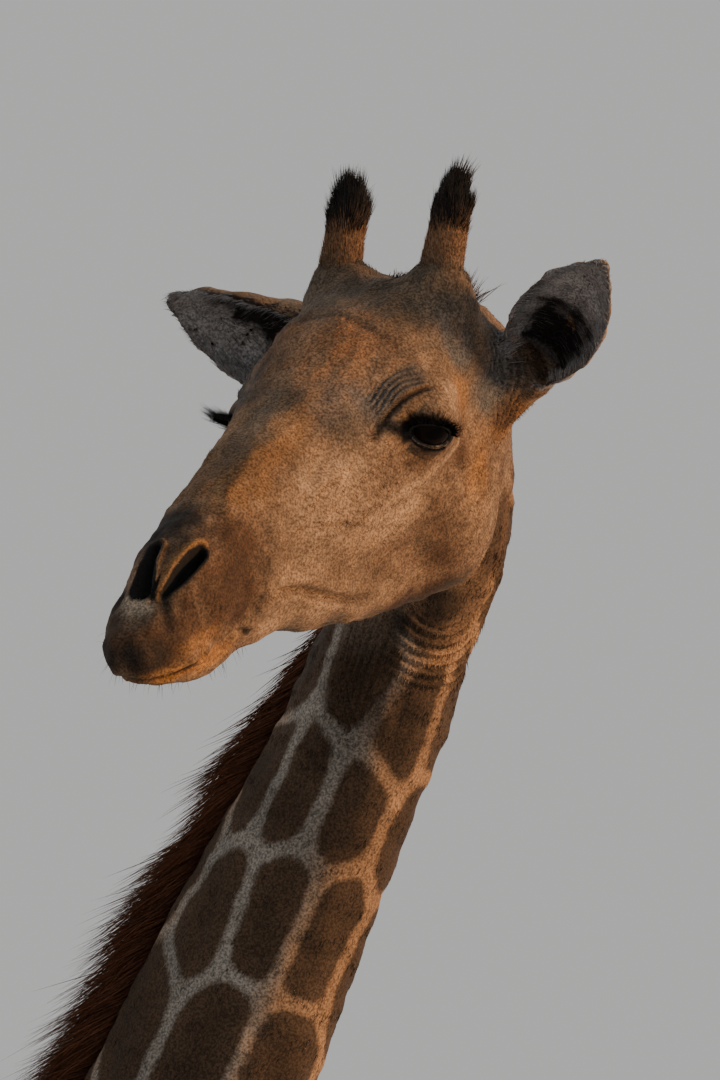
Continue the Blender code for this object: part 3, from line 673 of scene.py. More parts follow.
def brow_folds(side):
    """The folds over the eye: height from -1 to 1, how much they show, and the crease under them."""
    over, away, share = over_line(side, BROW_LINE, BROW_UP)
    shown = faded(away, 0.024, 0.032) * band(share, 0.02, 0.2, 0.72, 0.98)
    shown = shown * band(over, 0.0015, 0.005, 0.022, 0.029)
    folds = np.cos(math.tau * (over - 0.0035 + 0.002 * np.sin(9 * share)) / BROW_FOLD)
    crease = peak(over + 0.0015, 0.0042 * (1 - 0.55 * share)) * faded(away, 0.008, 0.012)
    return folds, shown, crease * faded(share, 0.75, 1)


def nostril_width(right, share):
    """Half a nostril's width, from its upper end down: the left is a leaf, the right a drop."""
    return 0.0062 + 0.005 * share if right else 0.0068 + 0.0082 * share - 0.0122 * share * share


def nostrils(local):
    """By each place's own nostril: how far outside its edge, how far over it, and if it's the right."""
    right = local[:, 1] < MUZZLE_MIDDLE
    over, away, share = over_line(local, NOSTRIL_LINE, NOSTRIL_UP)
    outside = away - nostril_width(False, share)
    over_right, away, share = over_line(local, RIGHT_NOSTRIL_LINE, NOSTRIL_UP * (1, -1, 1))
    outside_right = away - nostril_width(True, share)
    return np.where(right, outside_right, outside), np.where(right, over_right, over), right


def outside_nostrils(local):
    """How far outside the walls of both nostrils each place lies, down to their floors."""
    outside = np.full(len(local), 1.0)
    near = np.abs(local - (0.565, 0.012, -0.035)).max(1) < 0.07
    for line, right in ((NOSTRIL_LINE, False), (RIGHT_NOSTRIL_LINE, True)):
        inward = NOSTRIL_INWARD * (1, -1 if right else 1, 1)
        for depth in (0, 0.007, 0.014, 0.021):
            away, share = line_distance(local[near], line + depth * inward)
            outside[near] = np.minimum(outside[near], away - nostril_width(right, share))
    return outside


def lids(local):
    """How far inside the lids' opening each place near an eye lies, the radius, and its height in it."""
    x, y, z = (folded(local) - EYE).T
    radius = np.maximum(np.sqrt(x * x + y * y + z * z), 1e-6)
    bearing = np.degrees(np.arctan2(y, x))
    height = np.degrees(np.arcsin(np.clip(z / radius, -1, 1)))
    t = (bearing - LIDS_MIDDLE) / LIDS_HALF
    corner, upper, lower = lid_edges(t)
    per_degree = math.radians(BALL_RADIUS)
    inside = np.minimum(np.minimum(upper - height, height - lower), (1 - np.abs(t)) * LIDS_HALF)
    return inside * per_degree, radius, (height - corner) * per_degree


def rippled(value, start, end, spacing):
    """Folds across a band: their height from -1 to 1, dying away at its edges."""
    shown = band(value, start, start + spacing, end - spacing, end)
    return shown * np.cos(math.tau * (value - start) / spacing)


def bump_at(local, centre, radii):
    """1 at a place on the face and 0 outside these radii from it, all in millimetres."""
    centre, radii = mm(centre, radii)
    return np.exp(-2 * np.square((local - centre) / radii).sum(1))


def spot(local, centre, radii):
    """1 over the middle of a place on the face, fading to 0 outside these radii."""
    return np.minimum(1, 1.9 * bump_at(local, centre, radii))


def gathered(side):
    """Strands of skin between horn and ear, and the fan under the ear: height and how much they show."""
    strands = bump_at(side, (50, 95, 35), (34, 40, 45))
    fan = bump_at(side, (56, 90, -22), (34, 40, 26))
    shown = np.minimum(1, 1.6 * (strands + fan))
    waves = (side @ (0.97, 0, 0.22)) * math.tau / STRAND + 1.5 * np.sin(side[:, 2] * 70)
    return shown * np.sin(waves), shown


def cloudy(points, size, seed):
    """Soft clouds about this size across, mostly between -1 and 1."""
    rng = np.random.default_rng(seed)
    found = np.zeros(len(points))
    for _ in range(14):
        way = unit(rng.normal(size=3)) * math.tau / (size * rng.uniform(0.7, 2.6))
        found += np.sin(points @ way + rng.uniform(0, 6.3))
    return found / 3.2


def neck_bearing(points):
    """Drop below the poll and bearing round the neck's middle, in radians."""
    x, y, z = (points - SHIFT).T
    drop = POLL[2] - z
    forward, left = smooth(NECK_SLICES, drop)[:2]
    return drop, np.arctan2(y - POLL[1] - left, x - POLL[0] - forward)


def sculpted(points, normals):
    """The skin with its lids, nostrils, lips, wrinkles and folds."""
    local = to_head(points)
    side = folded(local)
    on_head = np.linalg.norm(local, axis=1) < 0.8
    drop, bearing = neck_bearing(points)
    height = np.zeros(len(points))
    for centre, radii, amount in FACE_FORMS:
        height += amount * bump_at(side, centre, radii)
    for line, width, amount in FACE_RIDGES:
        height += amount * peak(line_distance(side, line)[0], width)
    # Folds over the eye, the crease between them and the lid, and the hollow under the eye.
    folds, shown, crease = brow_folds(side)
    height += BROW_FOLDS * shown * folds - BROW_CREASE * crease
    eye_reach = np.linalg.norm(side - EYE, axis=1)
    under = eased(EYE[2] - side[:, 2], 0.012, 0.024) * faded(eye_reach, 0.036, 0.046)
    height -= EYE_HOLLOW * under * peak(eye_reach - 0.035, 0.0022)
    # A raised rim round each nostril.
    outside, over, right = nostrils(local)
    rim = NOSTRIL_RIM + NOSTRIL_FOLD * eased(over, -0.002, 0.006)
    height += rim * peak(outside - 0.0036, 0.003)
    # The mouth, and the fold behind it.
    from_mouth, passed = line_distance(side, MOUTH_LINE)
    deep = eased(passed, -0.05, 0.22) * (1 - 0.6 * eased(passed, 0.8, 1))
    height -= MOUTH_DEPTH * deep * peak(from_mouth, 0.003)
    height += LIP_EDGE * peak(from_mouth - 0.007, 0.0032)
    from_fold, along = line_distance(side, MOUTH_FOLD)
    fold = FOLD_EDGE * peak(from_fold - 0.0095, 0.005) - FOLD_DEPTH * peak(from_fold, 0.0032)
    height += (1 - 0.7 * eased(along, 0.6, 1)) * fold
    # Wrinkles of the muzzle between nostril and mouth, and an uneven skin everywhere.
    muzzle = bump_at(side, (545, 40, -75), (45, 30, 34))
    wander = 2.2 * np.sin(side @ (90, 0, 170)) + 1.3 * np.sin(side @ (210, 0, -120))
    height += WRINKLES * muzzle * np.sin((side @ (0.8, 0, 0.6)) * math.tau / WRINKLE + wander)
    height += 0.0011 * cloudy(local, 0.024, 3) + 0.0004 * cloudy(local * (0.5, 1, 1), 0.009, 4)
    # Crescent folds of the throat, upright folds of the neck under the jaw, strands before the ear.
    ring = np.linalg.norm(local - (0.03, -0.01, -0.195), axis=1)
    hung = band(drop, 0.15, 0.19, 0.3, 0.35) * band(bearing, -1.35, -0.95, 0.1, 0.5)
    height += THROAT_FOLDS * hung * rippled(ring, 0.048, 0.118, THROAT_FOLD)
    upright = band(drop, 0.22, 0.26, 0.34, 0.4) * band(bearing, -2, -1.8, -1.25, -1.1)
    height += NECK_FOLDS * upright * np.sin(bearing * math.tau / 0.11 + 6 * drop)
    height += STRANDS * gathered(side)[0]
    points = points + normals * (height * on_head)[:, None]
    # Slits of the nostrils, pressed inwards.
    inward = NOSTRIL_INWARD * xyz(1, 1 - 2 * right, 1)
    depth = NOSTRIL_DEPTH * faded(outside, -0.004, -0.0004)
    points = points + (inward @ TURN.T) * depth[:, None]
    # Lids over the eyeball.
    local = to_head(points)
    inside, radius, _ = lids(local)
    middle = EYE * xyz(1.0, np.where(local[:, 1] < 0, -1.0, 1.0), 1.0)
    near = (radius < 0.045) & (folded(local)[:, 1] > EYE[1] - 0.016)
    ball = LID_RADIUS - 0.002 - 0.0008 * eased(inside, -0.004, 0)
    pushed = -melted(-radius, -ball, 0.008)
    lid = pushed + (SOCKET_RADIUS - pushed) * eased(inside, -0.0003, 0.0014)
    local = np.where(near[:, None], middle + (local - middle) * (lid / radius)[:, None], local)
    return from_head(local)


# ---- The skin's mesh ----
def skin_parts(sizes):
    """Three lengths of skin, fine at the head and coarser below, and the levels where they meet."""
    crown = POLL + SHIFT
    gap = 0.004
    chin = crown[2] - 0.34
    rows = round(0.455 / (4 * sizes.neck_step))
    withers = chin - rows * 4 * sizes.neck_step - 2 * gap
    top = withers - gap
    below = math.ceil(top / (4 * sizes.body_step)) * 4 * sizes.body_step
    low, high = crown + (-0.45, -0.72, -0.34), crown + (0.32, 0.35, 0.24)
    points, faces = polygonised(upper_skin, low, high, sizes.head_step)
    points = settled(points, lambda p: upper_skin(p, 1), 2)
    weight = faded(crown[2] - points[:, 2], 0.26, 0.33) * (1 - 0.97 * ear_nearness(points)["on"])
    passes = round(14 * (0.0065 / sizes.head_step) ** 2)
    head = relaxed(points, edges_of(faces), passes, weight), faces
    low = crown[0] - 0.6, crown[1] - 0.15, withers + gap
    high = crown[0] + 0.05, crown[1] + 0.36, chin - gap - 0.001
    points, faces = polygonised(neck_skin, low, high, sizes.neck_step)
    neck = settled(points, neck_skin), faces
    low, high = (-1.35, -0.5, top - below), (1.05, 0.5, top - 0.001)
    points, faces = polygonised(lower_skin, low, high, sizes.body_step)
    points = settled(points, lower_skin)
    z = points[:, 2]
    weight = faded(z, withers - 0.4, withers - 0.1) * (0.25 + 0.75 * eased(z, 1, 1.6))
    body = relaxed(points, edges_of(faces), 12, weight), faces
    return (head, neck, body), (chin, withers)


def moved(bm, points):
    for vert, place in zip(bm.verts, points):
        vert.co = place


def refined(bm, place, radii):
    """Splits the edges near a place on the head, once for each radius."""
    centre = Vector(from_head(np.array(place)))
    for radius in radii:
        near = {v for v in bm.verts if (v.co - centre).length_squared < radius * radius}
        edges = list({e for v in near for e in v.link_edges if e.other_vert(v) in near})
        bmesh.ops.subdivide_edges(bm, edges=edges, cuts=1, use_grid_fill=True)
        bmesh.ops.triangulate(bm, faces=[f for f in bm.faces if len(f.verts) > 4])


def skin_mesh(sizes):
    lengths, levels = skin_parts(sizes)
    corners, faces = [], []
    for points, quads in lengths:
        faces.append(quads + sum(map(len, corners)))
        corners.append(points)
    mesh = bpy.data.meshes.new("skin")
    mesh.from_pydata(np.concatenate(corners).tolist(), [], np.concatenate(faces).tolist())
    bm = bmesh.new()
    bm.from_mesh(mesh)
    bmesh.ops.delete(bm, geom=[v for v in bm.verts if not v.link_faces], context="VERTS")
    border = [e for e in bm.edges if e.is_boundary]
    for level in levels:
        bmesh.ops.bridge_loops(bm, edges=[e for e in border if abs(e.verts[0].co.z - level) < 0.03])
    for side in SIDES:
        refined(bm, EYE * (1, side, 1), (0.046, 0.036))
        refined(bm, (0.236, side * 0.085, 0.06), (0.038, 0.033))
        refined(bm, (0.556, 0.03, -0.027) if side > 0 else (0.556, -0.01, -0.022), (0.044, 0.032))
        refined(bm, (0.56, side * 0.03, -0.095), (0.05,))
        refined(bm, (0.48, side * 0.036, -0.105), (0.036,))
    refined(bm, (0.04, -0.045, -0.27), (0.085,))
    bmesh.ops.recalc_face_normals(bm, faces=bm.faces)
    bm.verts.index_update()
    points = np.array([v.co for v in bm.verts])
    near_face = np.linalg.norm(to_head(points) - (0.3, 0, 0), axis=1) < 0.42
    edges = np.array([(e.verts[0].index, e.verts[1].index) for e in bm.edges])
    moved(bm, relaxed(points, edges, 3, near_face * (1 - ear_nearness(points)["on"])))
    bm.normal_update()
    points, normals = (np.array([getattr(v, part) for v in bm.verts]) for part in ("co", "normal"))
    moved(bm, sculpted(points, normals))
    bm.to_mesh(mesh)
    bm.free()
    mesh.shade_smooth()
    return mesh


def surface_of(mesh):
    """A mesh's points, normals and triangles."""
    mesh.calc_loop_triangles()
    flat = np.empty(len(mesh.vertices) * 3)
    mesh.vertices.foreach_get("co", flat)
    points = flat.reshape(-1, 3).copy()
    mesh.vertex_normals.foreach_get("vector", flat)
    normals = flat.reshape(-1, 3).copy()
    triangles = np.empty(len(mesh.loop_triangles) * 3, int)
    mesh.loop_triangles.foreach_get("vertices", triangles)
    return points, normals, triangles.reshape(-1, 3)


# ---- Markings ----
SOFT_BORDER = 0.0055  # how rounded the corners of the patches are


def patch_spacing(points):
    """How far apart the middles of the patches are, and how much longer than wide they are."""
    x, _, z = (points - SHIFT).T
    down = eased(POLL[2] - z, 0.5, 1.4)
    neck = eased(x, 0.35, 0.5) * eased(z, 2.1, 2.4)
    trunk = 0.225 - 0.12 * faded(z, 1.15, 1.75) - 0.04 * faded(z, 0.4, 1.1)
    spacing = neck * (0.074 + 0.085 * down) + (1 - neck) * trunk
    return spacing, 1 - neck * (0.42 - 0.22 * down)


def patch_apart(points, seeds, longer):
    """Squared distances from each point to each seed, shortened along the neck."""
    apart = points[:, None, :] - seeds[None]
    along = apart @ NECK_AXIS
    return (apart * apart).sum(2) - (1 - longer[:, None] ** 2) * along * along


class Patches:
    """The middles of the coat's patches, spread over the skin."""

    def __init__(self, points, normals, rng):
        fixed = []
        for drop, bearing in NECK_PATCHES:
            forward, left = smooth(NECK_SLICES, np.array([drop]))[:2, 0]
            turn = math.radians(bearing)
            out = np.array((math.cos(turn), math.sin(turn), 0)) * 0.09
            fixed.append(POLL + SHIFT + (forward, left, -drop) + out)
        fixed = settled(np.array(fixed), neck_skin, 4, 0.05)
        pick = rng.permutation(len(points))[:9000]
        drop, bearing = neck_bearing(points[pick])
        turn = np.degrees(bearing)
        placed = (drop > 0.2) & (drop < 0.7) & ((turn < 20) | (turn > 174))
        head = (to_head(points[pick]) - THROAT) @ THROAT_WAY < 0.01
        pick = pick[~placed & ~(head & (drop < 0.35))]
        seeds, facing = list(fixed), [np.zeros(3)] * len(fixed)
        for index, gap, length in zip(pick, *patch_spacing(points[pick])):
            apart = patch_apart(points[index][None], np.array(seeds), np.array([length]))[0]
            same = np.array(facing) @ normals[index] > -0.2
            if (apart[same] > gap * gap).all():
                seeds.append(points[index])
                facing.append(normals[index])
        facing[:len(fixed)] = unit(slope_of(neck_skin, fixed))
        self.seeds, self.facing = np.array(seeds), np.array(facing)

    def border(self, points, normals):
        """How far each point lies from the nearest border between patches."""
        longer = patch_spacing(points)[1]
        found = np.empty(len(points))
        for start in range(0, len(points), 8000):
            part = slice(start, start + 8000)
            apart = patch_apart(points[part], self.seeds, longer[part])
            apart = apart + 0.02 * np.maximum(0, 0.1 - normals[part] @ self.facing.T)
            order = np.argpartition(apart, 4, axis=1)[:, :5]
            near = np.take_along_axis(apart, order, 1)
            rank = np.argsort(near, axis=1)
            order, near = np.take_along_axis(order, rank, 1), np.take_along_axis(near, rank, 1)
            gaps = self.seeds[order[:, 1:]] - self.seeds[order[:, :1]]
            squeeze = (1 - longer[part, None, None] ** 2) * (gaps @ NECK_AXIS)[:, :, None]
            steep = np.linalg.norm(gaps - squeeze * NECK_AXIS, axis=2)
            edge = (near[:, 1:] - near[:, :1]) / (2 * np.maximum(steep, 1e-6))
            found[part] = -SOFT_BORDER * np.log(np.exp(-edge / SOFT_BORDER).sum(1))
        return found


# The face's colours, among them painted shade and painted light: place and radii in millimetres, which
# colour, how strongly.
FACE_TONES = (
    ((130, 0, 125), (110, 120, 60), "ash", 0.95), ((250, 22, 98), (64, 52, 50), "rust", 0.72),
    # The soot on the right of the nose's bridge is painted shade, on the side away from the key light.
    ((276, -38, 80), (70, 30, 50), "soot", 0.68), ((290, 62, 52), (46, 30, 34), "slate", 0.6),
    ((300, 68, 35), (30, 30, 24), "ash", 0.55), ((370, 0, 58), (110, 22, 40), "ash", 0.45),
    ((370, 32, 44), (70, 20, 30), "amber", 0.3), ((440, 30, 18), (50, 30, 26), "amber", 0.35),
    ((450, 0, 35), (90, 30, 40), "umber", 0.15), ((345, 68, 2), (70, 35, 28), "fawn", 0.55),
    ((340, 70, -40), (75, 40, 35), "fawn", 0.7), ((372, 60, -64), (30, 30, 20), "ash", 0.35),
    ((395, 52, -78), (60, 35, 20), "fawn", 0.6), ((395, 40, -122), (80, 40, 20), "fawn", 0.65),
    ((505, 44, -24), (66, 34, 42), "umber", 1), ((502, 45, -68), (50, 34, 44), "umber", 0.92),
    ((525, 5, 2), (58, 40, 22), "soot", 0.95), ((560, 34, -68), (56, 34, 34), "umber", 1),
    # The soot in the groove beside the left nostril is painted shade.
    ((588, 24, -54), (16, 14, 24), "soot", 0.85), ((607, 6, -47), (18, 14, 14), "pale", 0.95),
    # The soot on the right of the muzzle is painted shade.
    ((620, 10, -66), (24, 26, 16), "ash", 0.6), ((630, -22, -75), (50, 22, 40), "soot", 0.85),
    ((622, 22, -84), (46, 38, 30), "umber", 1), ((632, 20, -90), (38, 36, 22), "soot", 0.82),
    # The amber on the lips, here and on the next line, is partly their own warm hair and partly painted
    # low sunlight.
    ((560, 42, -94), (40, 26, 12), "amber", 0.55), ((560, 30, -120), (80, 45, 14), "amber", 0.95),
    ((615, 22, -114), (40, 40, 9), "amber", 0.55), ((180, 108, 34), (34, 30, 18), "fawn", 0.7),
    # The umber under the eye is painted shade below the lid.
    ((145, 100, 24), (22, 30, 26), "amber", 0.5), ((222, 100, -14), (34, 24, 13), "umber", 0.85),
    ((205, 92, -30), (34, 20, 14), "umber", 0.4), ((190, 82, -75), (40, 35, 30), "umber", 0.45),
    ((165, 78, -120), (40, 35, 36), "umber", 0.78), ((255, 75, -105), (50, 35, 30), "umber", 0.3),
    ((118, 86, -60), (26, 35, 60), "amber", 0.45), ((300, 40, -150), (100, 40, 22), "fawn", 0.45),
    # The umber and soot under the jaw are painted shade.
    ((200, 50, -162), (80, 34, 20), "umber", 0.95), ((172, 50, -166), (70, 34, 14), "soot", 0.55),
    ((255, 78, -62), (55, 34, 30), "fawn", 0.85), ((150, 92, -18), (30, 30, 34), "umber", 0.72),
    ((120, 80, -110), (36, 34, 40), "fawn", 0.5), ((126, 88, 72), (28, 24, 40), "slate", 0.9),
    ((94, 92, 50), (20, 30, 40), "soot", 0.6), ((55, 93, 38), (30, 40, 40), "slate", 0.95),
    ((56, 88, -26), (34, 35, 24), "amber", 0.7), ((60, 88, -22), (30, 35, 22), "umber", 0.6),
    ((88, 94, 14), (44, 35, 28), "slate", 0.95),
)

# The throat's colours, the same way: a brown patch at the neck's edge, painted shade under the jaw, and
# umber lower down on the right.
THROAT_TONES = (
    ((-26, 14, -167), (50, 60, 55), "umber", 0.85), ((52, -36, -222), (75, 50, 32), "soot", 0.85),
    ((62, -36, -218), (60, 45, 28), "black", 0.6), ((77, -65, -324), (45, 50, 45), "umber", 0.6),
)

# Colours along lines of the face, among them painted shade in creases and grooves: line, width, which
# colour, how strongly.
LINE_TONES = (
    # Painted shade in the crease under the crown.
    (CROWN_LINE, 0.005, "soot", 0.55),
    (EYE_STRIPE, 0.0046, "fawn", 0.85),
    (CORNER_LINE, 0.005, "soot", 1.1),
    # Painted shade in the crease under the eye's front corner.
    (TEAR_LINE, 0.0012, "soot", 0.6),
    (CREST_LINE, 0.005, "fawn", 0.6),
    # Painted shade in the fold behind the mouth and in the groove beside the nostril.
    (MOUTH_FOLD, 0.004, "soot", 0.95),
    (MUZZLE_GROOVE, 0.0055, "soot", 0.85),
    (VESSEL_LINES[0], 0.0026, "umber", 0.6),
    (VESSEL_LINES[1] - (0, 0, 0.005), 0.003, "umber", 0.3),
)


def toned(tint, colour, share):
    return tint + (np.array(colour) - tint) * np.clip(share, 0, 1)[:, None]


def painted(points, normals, patches, colours):
    """The ground colour at each place, how far its patch's border lies, how strong the patch is, the
    nearness of the ears, and whether it is on the head."""
    local = to_head(points)
    side = folded(local)
    x, y, z = (points - SHIFT).T
    drop, bearing = neck_bearing(points)
    head = faded((local - THROAT) @ THROAT_WAY, -0.01, 0.03) * eased(z, 3.3, 3.5)
    tint = np.tile(colours["cream"], (len(points), 1))

    def tone(name, share):
        nonlocal tint
        tint = toned(tint, colours[name], share)

    # Belly, inner legs and the shins grow paler; the crest grows warmer.
    under = band(z, 1.35, 1.5, 1.5, 1.75) * faded(np.abs(y), 0.08, 0.2)
    tone("pale", 0.6 * under)
    tone("pale", 0.55 * faded(z, 0.35, 1))
    tone("fawn", 0.6 * eased(np.abs(bearing), 2.6, 3) * band(drop, 0.1, 0.3, 1.3, 1.6))
    tone("tan", head)
    clouds, small = cloudy(points, 0.03, 11), cloudy(points, 0.011, 12)
    tone("ash", 0.34 * head * eased(clouds + 0.5 * small, 0, 1.3))
    tone("fawn", 0.35 * head * eased(0.6 * small - clouds, 0.2, 1.2))
    # Tones placed on the right, painted shade, darken that side only.
    for centre, radii, name, share in FACE_TONES:
        near = spot(local if centre[1] < 0 else side, centre, radii) * (1 + 0.25 * clouds)
        tone(name, share * head * near)
    streaks = cloudy(local * (0.35, 1, 1), 0.0034, 13)
    tint = tint * np.clip(1 + 0.15 * head * streaks, 0.5, 1.7)[:, None]
    # Painted shade: dark in the valleys between the folds over the eye, in the crease under them, and
    # between the strands before the ear; the folds themselves are grey.
    folds, shown, crease = brow_folds(side)
    tone("slate", 0.85 * shown * head)
    tone("soot", 0.6 * shown * head * np.square(0.5 - 0.5 * folds))
    tone("soot", 0.95 * crease * head)
    strands, among = gathered(side)
    tone("soot", 0.75 * head * np.square(0.5 * (among - strands)))
    for line, width, name, share in LINE_TONES:
        tone(name, share * head * peak(line_distance(side, line)[0], width))
    # Black rims of the eyes, a painted highlight on the nostrils' rims, and painted shade within the
    # nostrils and between the lips.
    inside, radius, height = lids(local)
    near = (radius < 0.05) & (side[:, 1] > 0.07)
    rim = eased(inside, -0.009 - 0.005 * (height > 0), -0.0045) * faded(radius, 0.034, 0.042)
    tone("black", rim * near)
    # A pale line along the wet lower lid, a painted highlight.
    tone("lid", 0.9 * peak(inside + 0.0012, 0.0008) * near * (height < -0.004))
    tone("black", eased(inside, 0, 0.001) * near)
    outside, over, right = nostrils(local)
    # A warm painted highlight along each nostril's rim, weaker on the right, the side away from the key
    # light.
    rim = peak(outside - 0.0058, 0.0034) * eased(over, -0.002, 0.004)
    tone("amber", (0.58 - 0.43 * right) * rim)
    # Painted shade: black down the nostrils' walls to their floors.
    tone("black", faded(outside_nostrils(local), 0.001, 0.0026) * (head > 0.5))
    # Painted shade in the groove where the lips meet.
    tone("black", 0.92 * faded(line_distance(side, MOUTH_LINE)[0], 0.0018, 0.005) * (head > 0.5))
    # Ears: pale within, edged with brown, with painted shade in the cup, over the upper inside of the
    # right ear and on the back of the right ear.
    ears = ear_nearness(points)
    along, across, right = ears["share"], ears["across"], ears["side"] < 0
    on = ears["on"] * eased(along, 0.04, 0.12)
    behind, within = on * (1 - ears["inside"]), on * ears["inside"]
    tone("fawn", behind)
    # Painted shade: the back of the right ear, away from the key light, greyer.
    tone("ash", 0.65 * behind * right)
    tone("ear", within)
    uneven = 0.06 * np.sin(along * 40) + 0.05 * np.sin(across * 31)
    cup = faded(along + uneven, 0.36, 0.58) * faded(ears["rim"] + uneven, 0.42, 0.66)
    # Painted shade over the upper inside of the right ear only.
    upper = eased(across - 0.75 * along + 0.06 + 0.6 * uneven, -0.03, 0.07)
    upper = upper * faded(along, 0.74, 0.9) * right
    # Painted shade: black in the cup of each ear.
    tone("black", 0.97 * within * np.maximum(cup, upper))
    tone("umber", 0.55 * on * np.maximum(eased(ears["rim"], 0.86, 1), eased(along, 0.92, 1)))
    # Patches: narrower lines up the neck, and fainter on the shins, the belly, the tail and the throat.
    leg, neck, body = faded(z, 0.9, 1.6), eased(z, 2.5, 3), 1 - head
    border = patches.border(points, normals) - (0.014 - 0.0076 * neck + 0.004 * leg)
    throat = bump_at(local, (20, -20, -205), (50, 60, 70))
    strength = body * (1 - 0.75 * faded(z, 0.25, 1.15)) * (1 - 0.8 * under)
    strength *= 1 - 0.85 * eased(-x, 0.93, 0.97) * eased(z, 1.1, 1.3)
    strength *= 1 - 0.85 * np.minimum(1, 1.6 * throat)
    # The throat, painted warm light down the front of the neck where the key light falls, painted shade
    # under the jaw, and the tail.
    tone("cream", 0.8 * throat * body)
    # Painted warm light on the front of the neck, where the key light falls.
    tone("amber", 0.62 * faded(np.abs(bearing + 0.25), 0.35, 1) * neck * body)
    # Painted shade under the jaw comes from these tones.
    for centre, radii, name, share in THROAT_TONES:
        tone(name, share * np.minimum(1, 1.6 * body) * spot(local, centre, radii))
    tone("umber", 0.7 * eased(-x, 0.945, 0.975) * faded(z, 1.25, 1.45))
    return tint, border, strength, ears, head


# ---- Lie of the hair ----
def hair_lie(points, normals, head, ears):
    """The way the hair lies at each place, along the skin."""
    local = to_head(points)
    side = folded(local)
    x, _, z = (points - SHIFT).T
    sign = np.where(local[:, 1] < 0, -1.0, 1.0)
    back = xyz(-1, 0.3 * sign * eased(side[:, 2], 0, 0.08), -0.1)
    cheek = eased(side[:, 1], 0.045, 0.08) * faded(side[:, 2], -0.02, 0.05)
    back += cheek[:, None] * (0.15, 0, -0.75)
    for horn_side in SIDES:
        root, tip = horn_ends(horn_side)
        over = ((local - root) @ (tip - root)) / 0.155**2
        away = np.linalg.norm(local - root - over[:, None] * (tip - root), axis=1)
        near = faded(away, 0.03, 0.05) * eased(over, -0.1, 0.15)
        back += near[:, None] * 3 * unit(tip - root)
    way = mixed((-0.85, 0, -0.52), (-0.1, 0, -1), faded(z, 1.2, 1.7))
    way = mixed(way, NECK_AXIS, eased(x, 0.3, 0.5) * eased(z, 2.2, 2.5))
    way = mixed(way, back @ TURN.T, head)
    for ear_side, ear in EARS.items():
        way = mixed(way, unit(ear.way @ TURN.T), ears["on"] * (ears["side"] == ear_side))
    return unit(way - (way * normals).sum(1, keepdims=True) * normals)


# ---- Hair as mesh ----
def scattered(surface, weights, count, rng):
    """Places spread over a surface, denser where its points weigh more, with their normals."""
    points, normals, triangles = surface
    corner = points[triangles]
    area = np.linalg.norm(np.cross(corner[:, 1] - corner[:, 0], corner[:, 2] - corner[:, 0]), axis=1)
    chance = area * weights[triangles].mean(1)
    chosen = rng.choice(len(triangles), count, p=chance / chance.sum())
    u, v = rng.random((2, count))
    over = u + v > 1
    u, v = np.where(over, 1.0 - u, u), np.where(over, 1.0 - v, v)
    share = np.stack((1 - u - v, u, v), 1)[:, :, None]
    return (corner[chosen] * share).sum(1), unit((normals[triangles[chosen]] * share).sum(1))


HAIR_PATCH = 0.003  # size of each hair's own patch of the map


def set_look(mesh, tint, marks=None):
    """Each point's colour, and its marking: the border's distance, strength and wetness."""
    if marks is None:
        marks = np.zeros(tint.shape)
    solid = np.concatenate((tint, np.ones((len(tint), 1))), 1)
    for name, kind, field, values in (
        ("tint", "FLOAT_COLOR", "color", solid),
        ("mark", "FLOAT_VECTOR", "vector", marks),
    ):
        attribute = mesh.attributes.new(name, kind, "POINT")
        attribute.data.foreach_set(field, values.astype(np.float32).ravel())


def round_chart(across, up, along, column=0, columns=1):
    """A place on a tube's skin, cut along its underside and laid flat within a column of the map."""
    turn = np.arctan2(across, up) / (2 * math.pi) + 0.5
    u = (column + 0.02 + 0.96 * turn) / columns
    return np.stack((u, np.clip(along, 0.005, 0.995)), 1)


def body_chart(points):
    """The body's skin unwrapped as tubes: neck, trunk, tail and four legs side by side."""
    x, y, z = (points - SHIFT).T
    drop, bearing = neck_bearing(points)
    neck = round_chart(np.sin(bearing), np.cos(bearing), drop / 1.7, 0, 7)
    trunk = round_chart(y, z - 1.95, (x + 1) / 1.9, 1, 3.5)
    chart = np.where(((x > 0.33) & (z > 2.35))[:, None], neck, trunk)
    for column, ((_, side), (slices, hoof_x, step)) in enumerate(LEGS.items()):
        forward, outward = smooth(slices, z)[:2]
        middle = hoof_x + forward + swing(z, step)
        leg = round_chart(y - side * (LEG_SPREAD + outward), x - middle, z / 1.6, 3 + column, 7)
        here = (z < 1.5) & (np.sign(y) == side) & ((x > 0) == (hoof_x > 0))
        chart = np.where(here[:, None], leg, chart)
    return chart


def head_chart(points):
    x, y, z = to_head(points).T
    return round_chart(y, z + 0.04, (x + 0.14) / 0.82)


def ear_chart(ears):
    column = 2 * (ears["side"] < 0) + ears["inside"]
    return np.stack(((column + 0.05 + 0.9 * ears["across"]) / 4, 0.01 + 0.98 * ears["share"]), 1)


def linked(name, data):
    """A new object in the scene."""
    made = bpy.data.objects.new(name, data)
    bpy.context.scene.collection.objects.link(made)
    return made


def add_piece(name, mesh, material, slot, *nodes):
    """A finished piece, riding on the one body and standing for these nodes of the frame."""
    mesh.materials.clear()
    mesh.materials.append(material)
    piece = linked(name, mesh)
    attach(piece, "root")
    if nodes:
        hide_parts(*nodes)


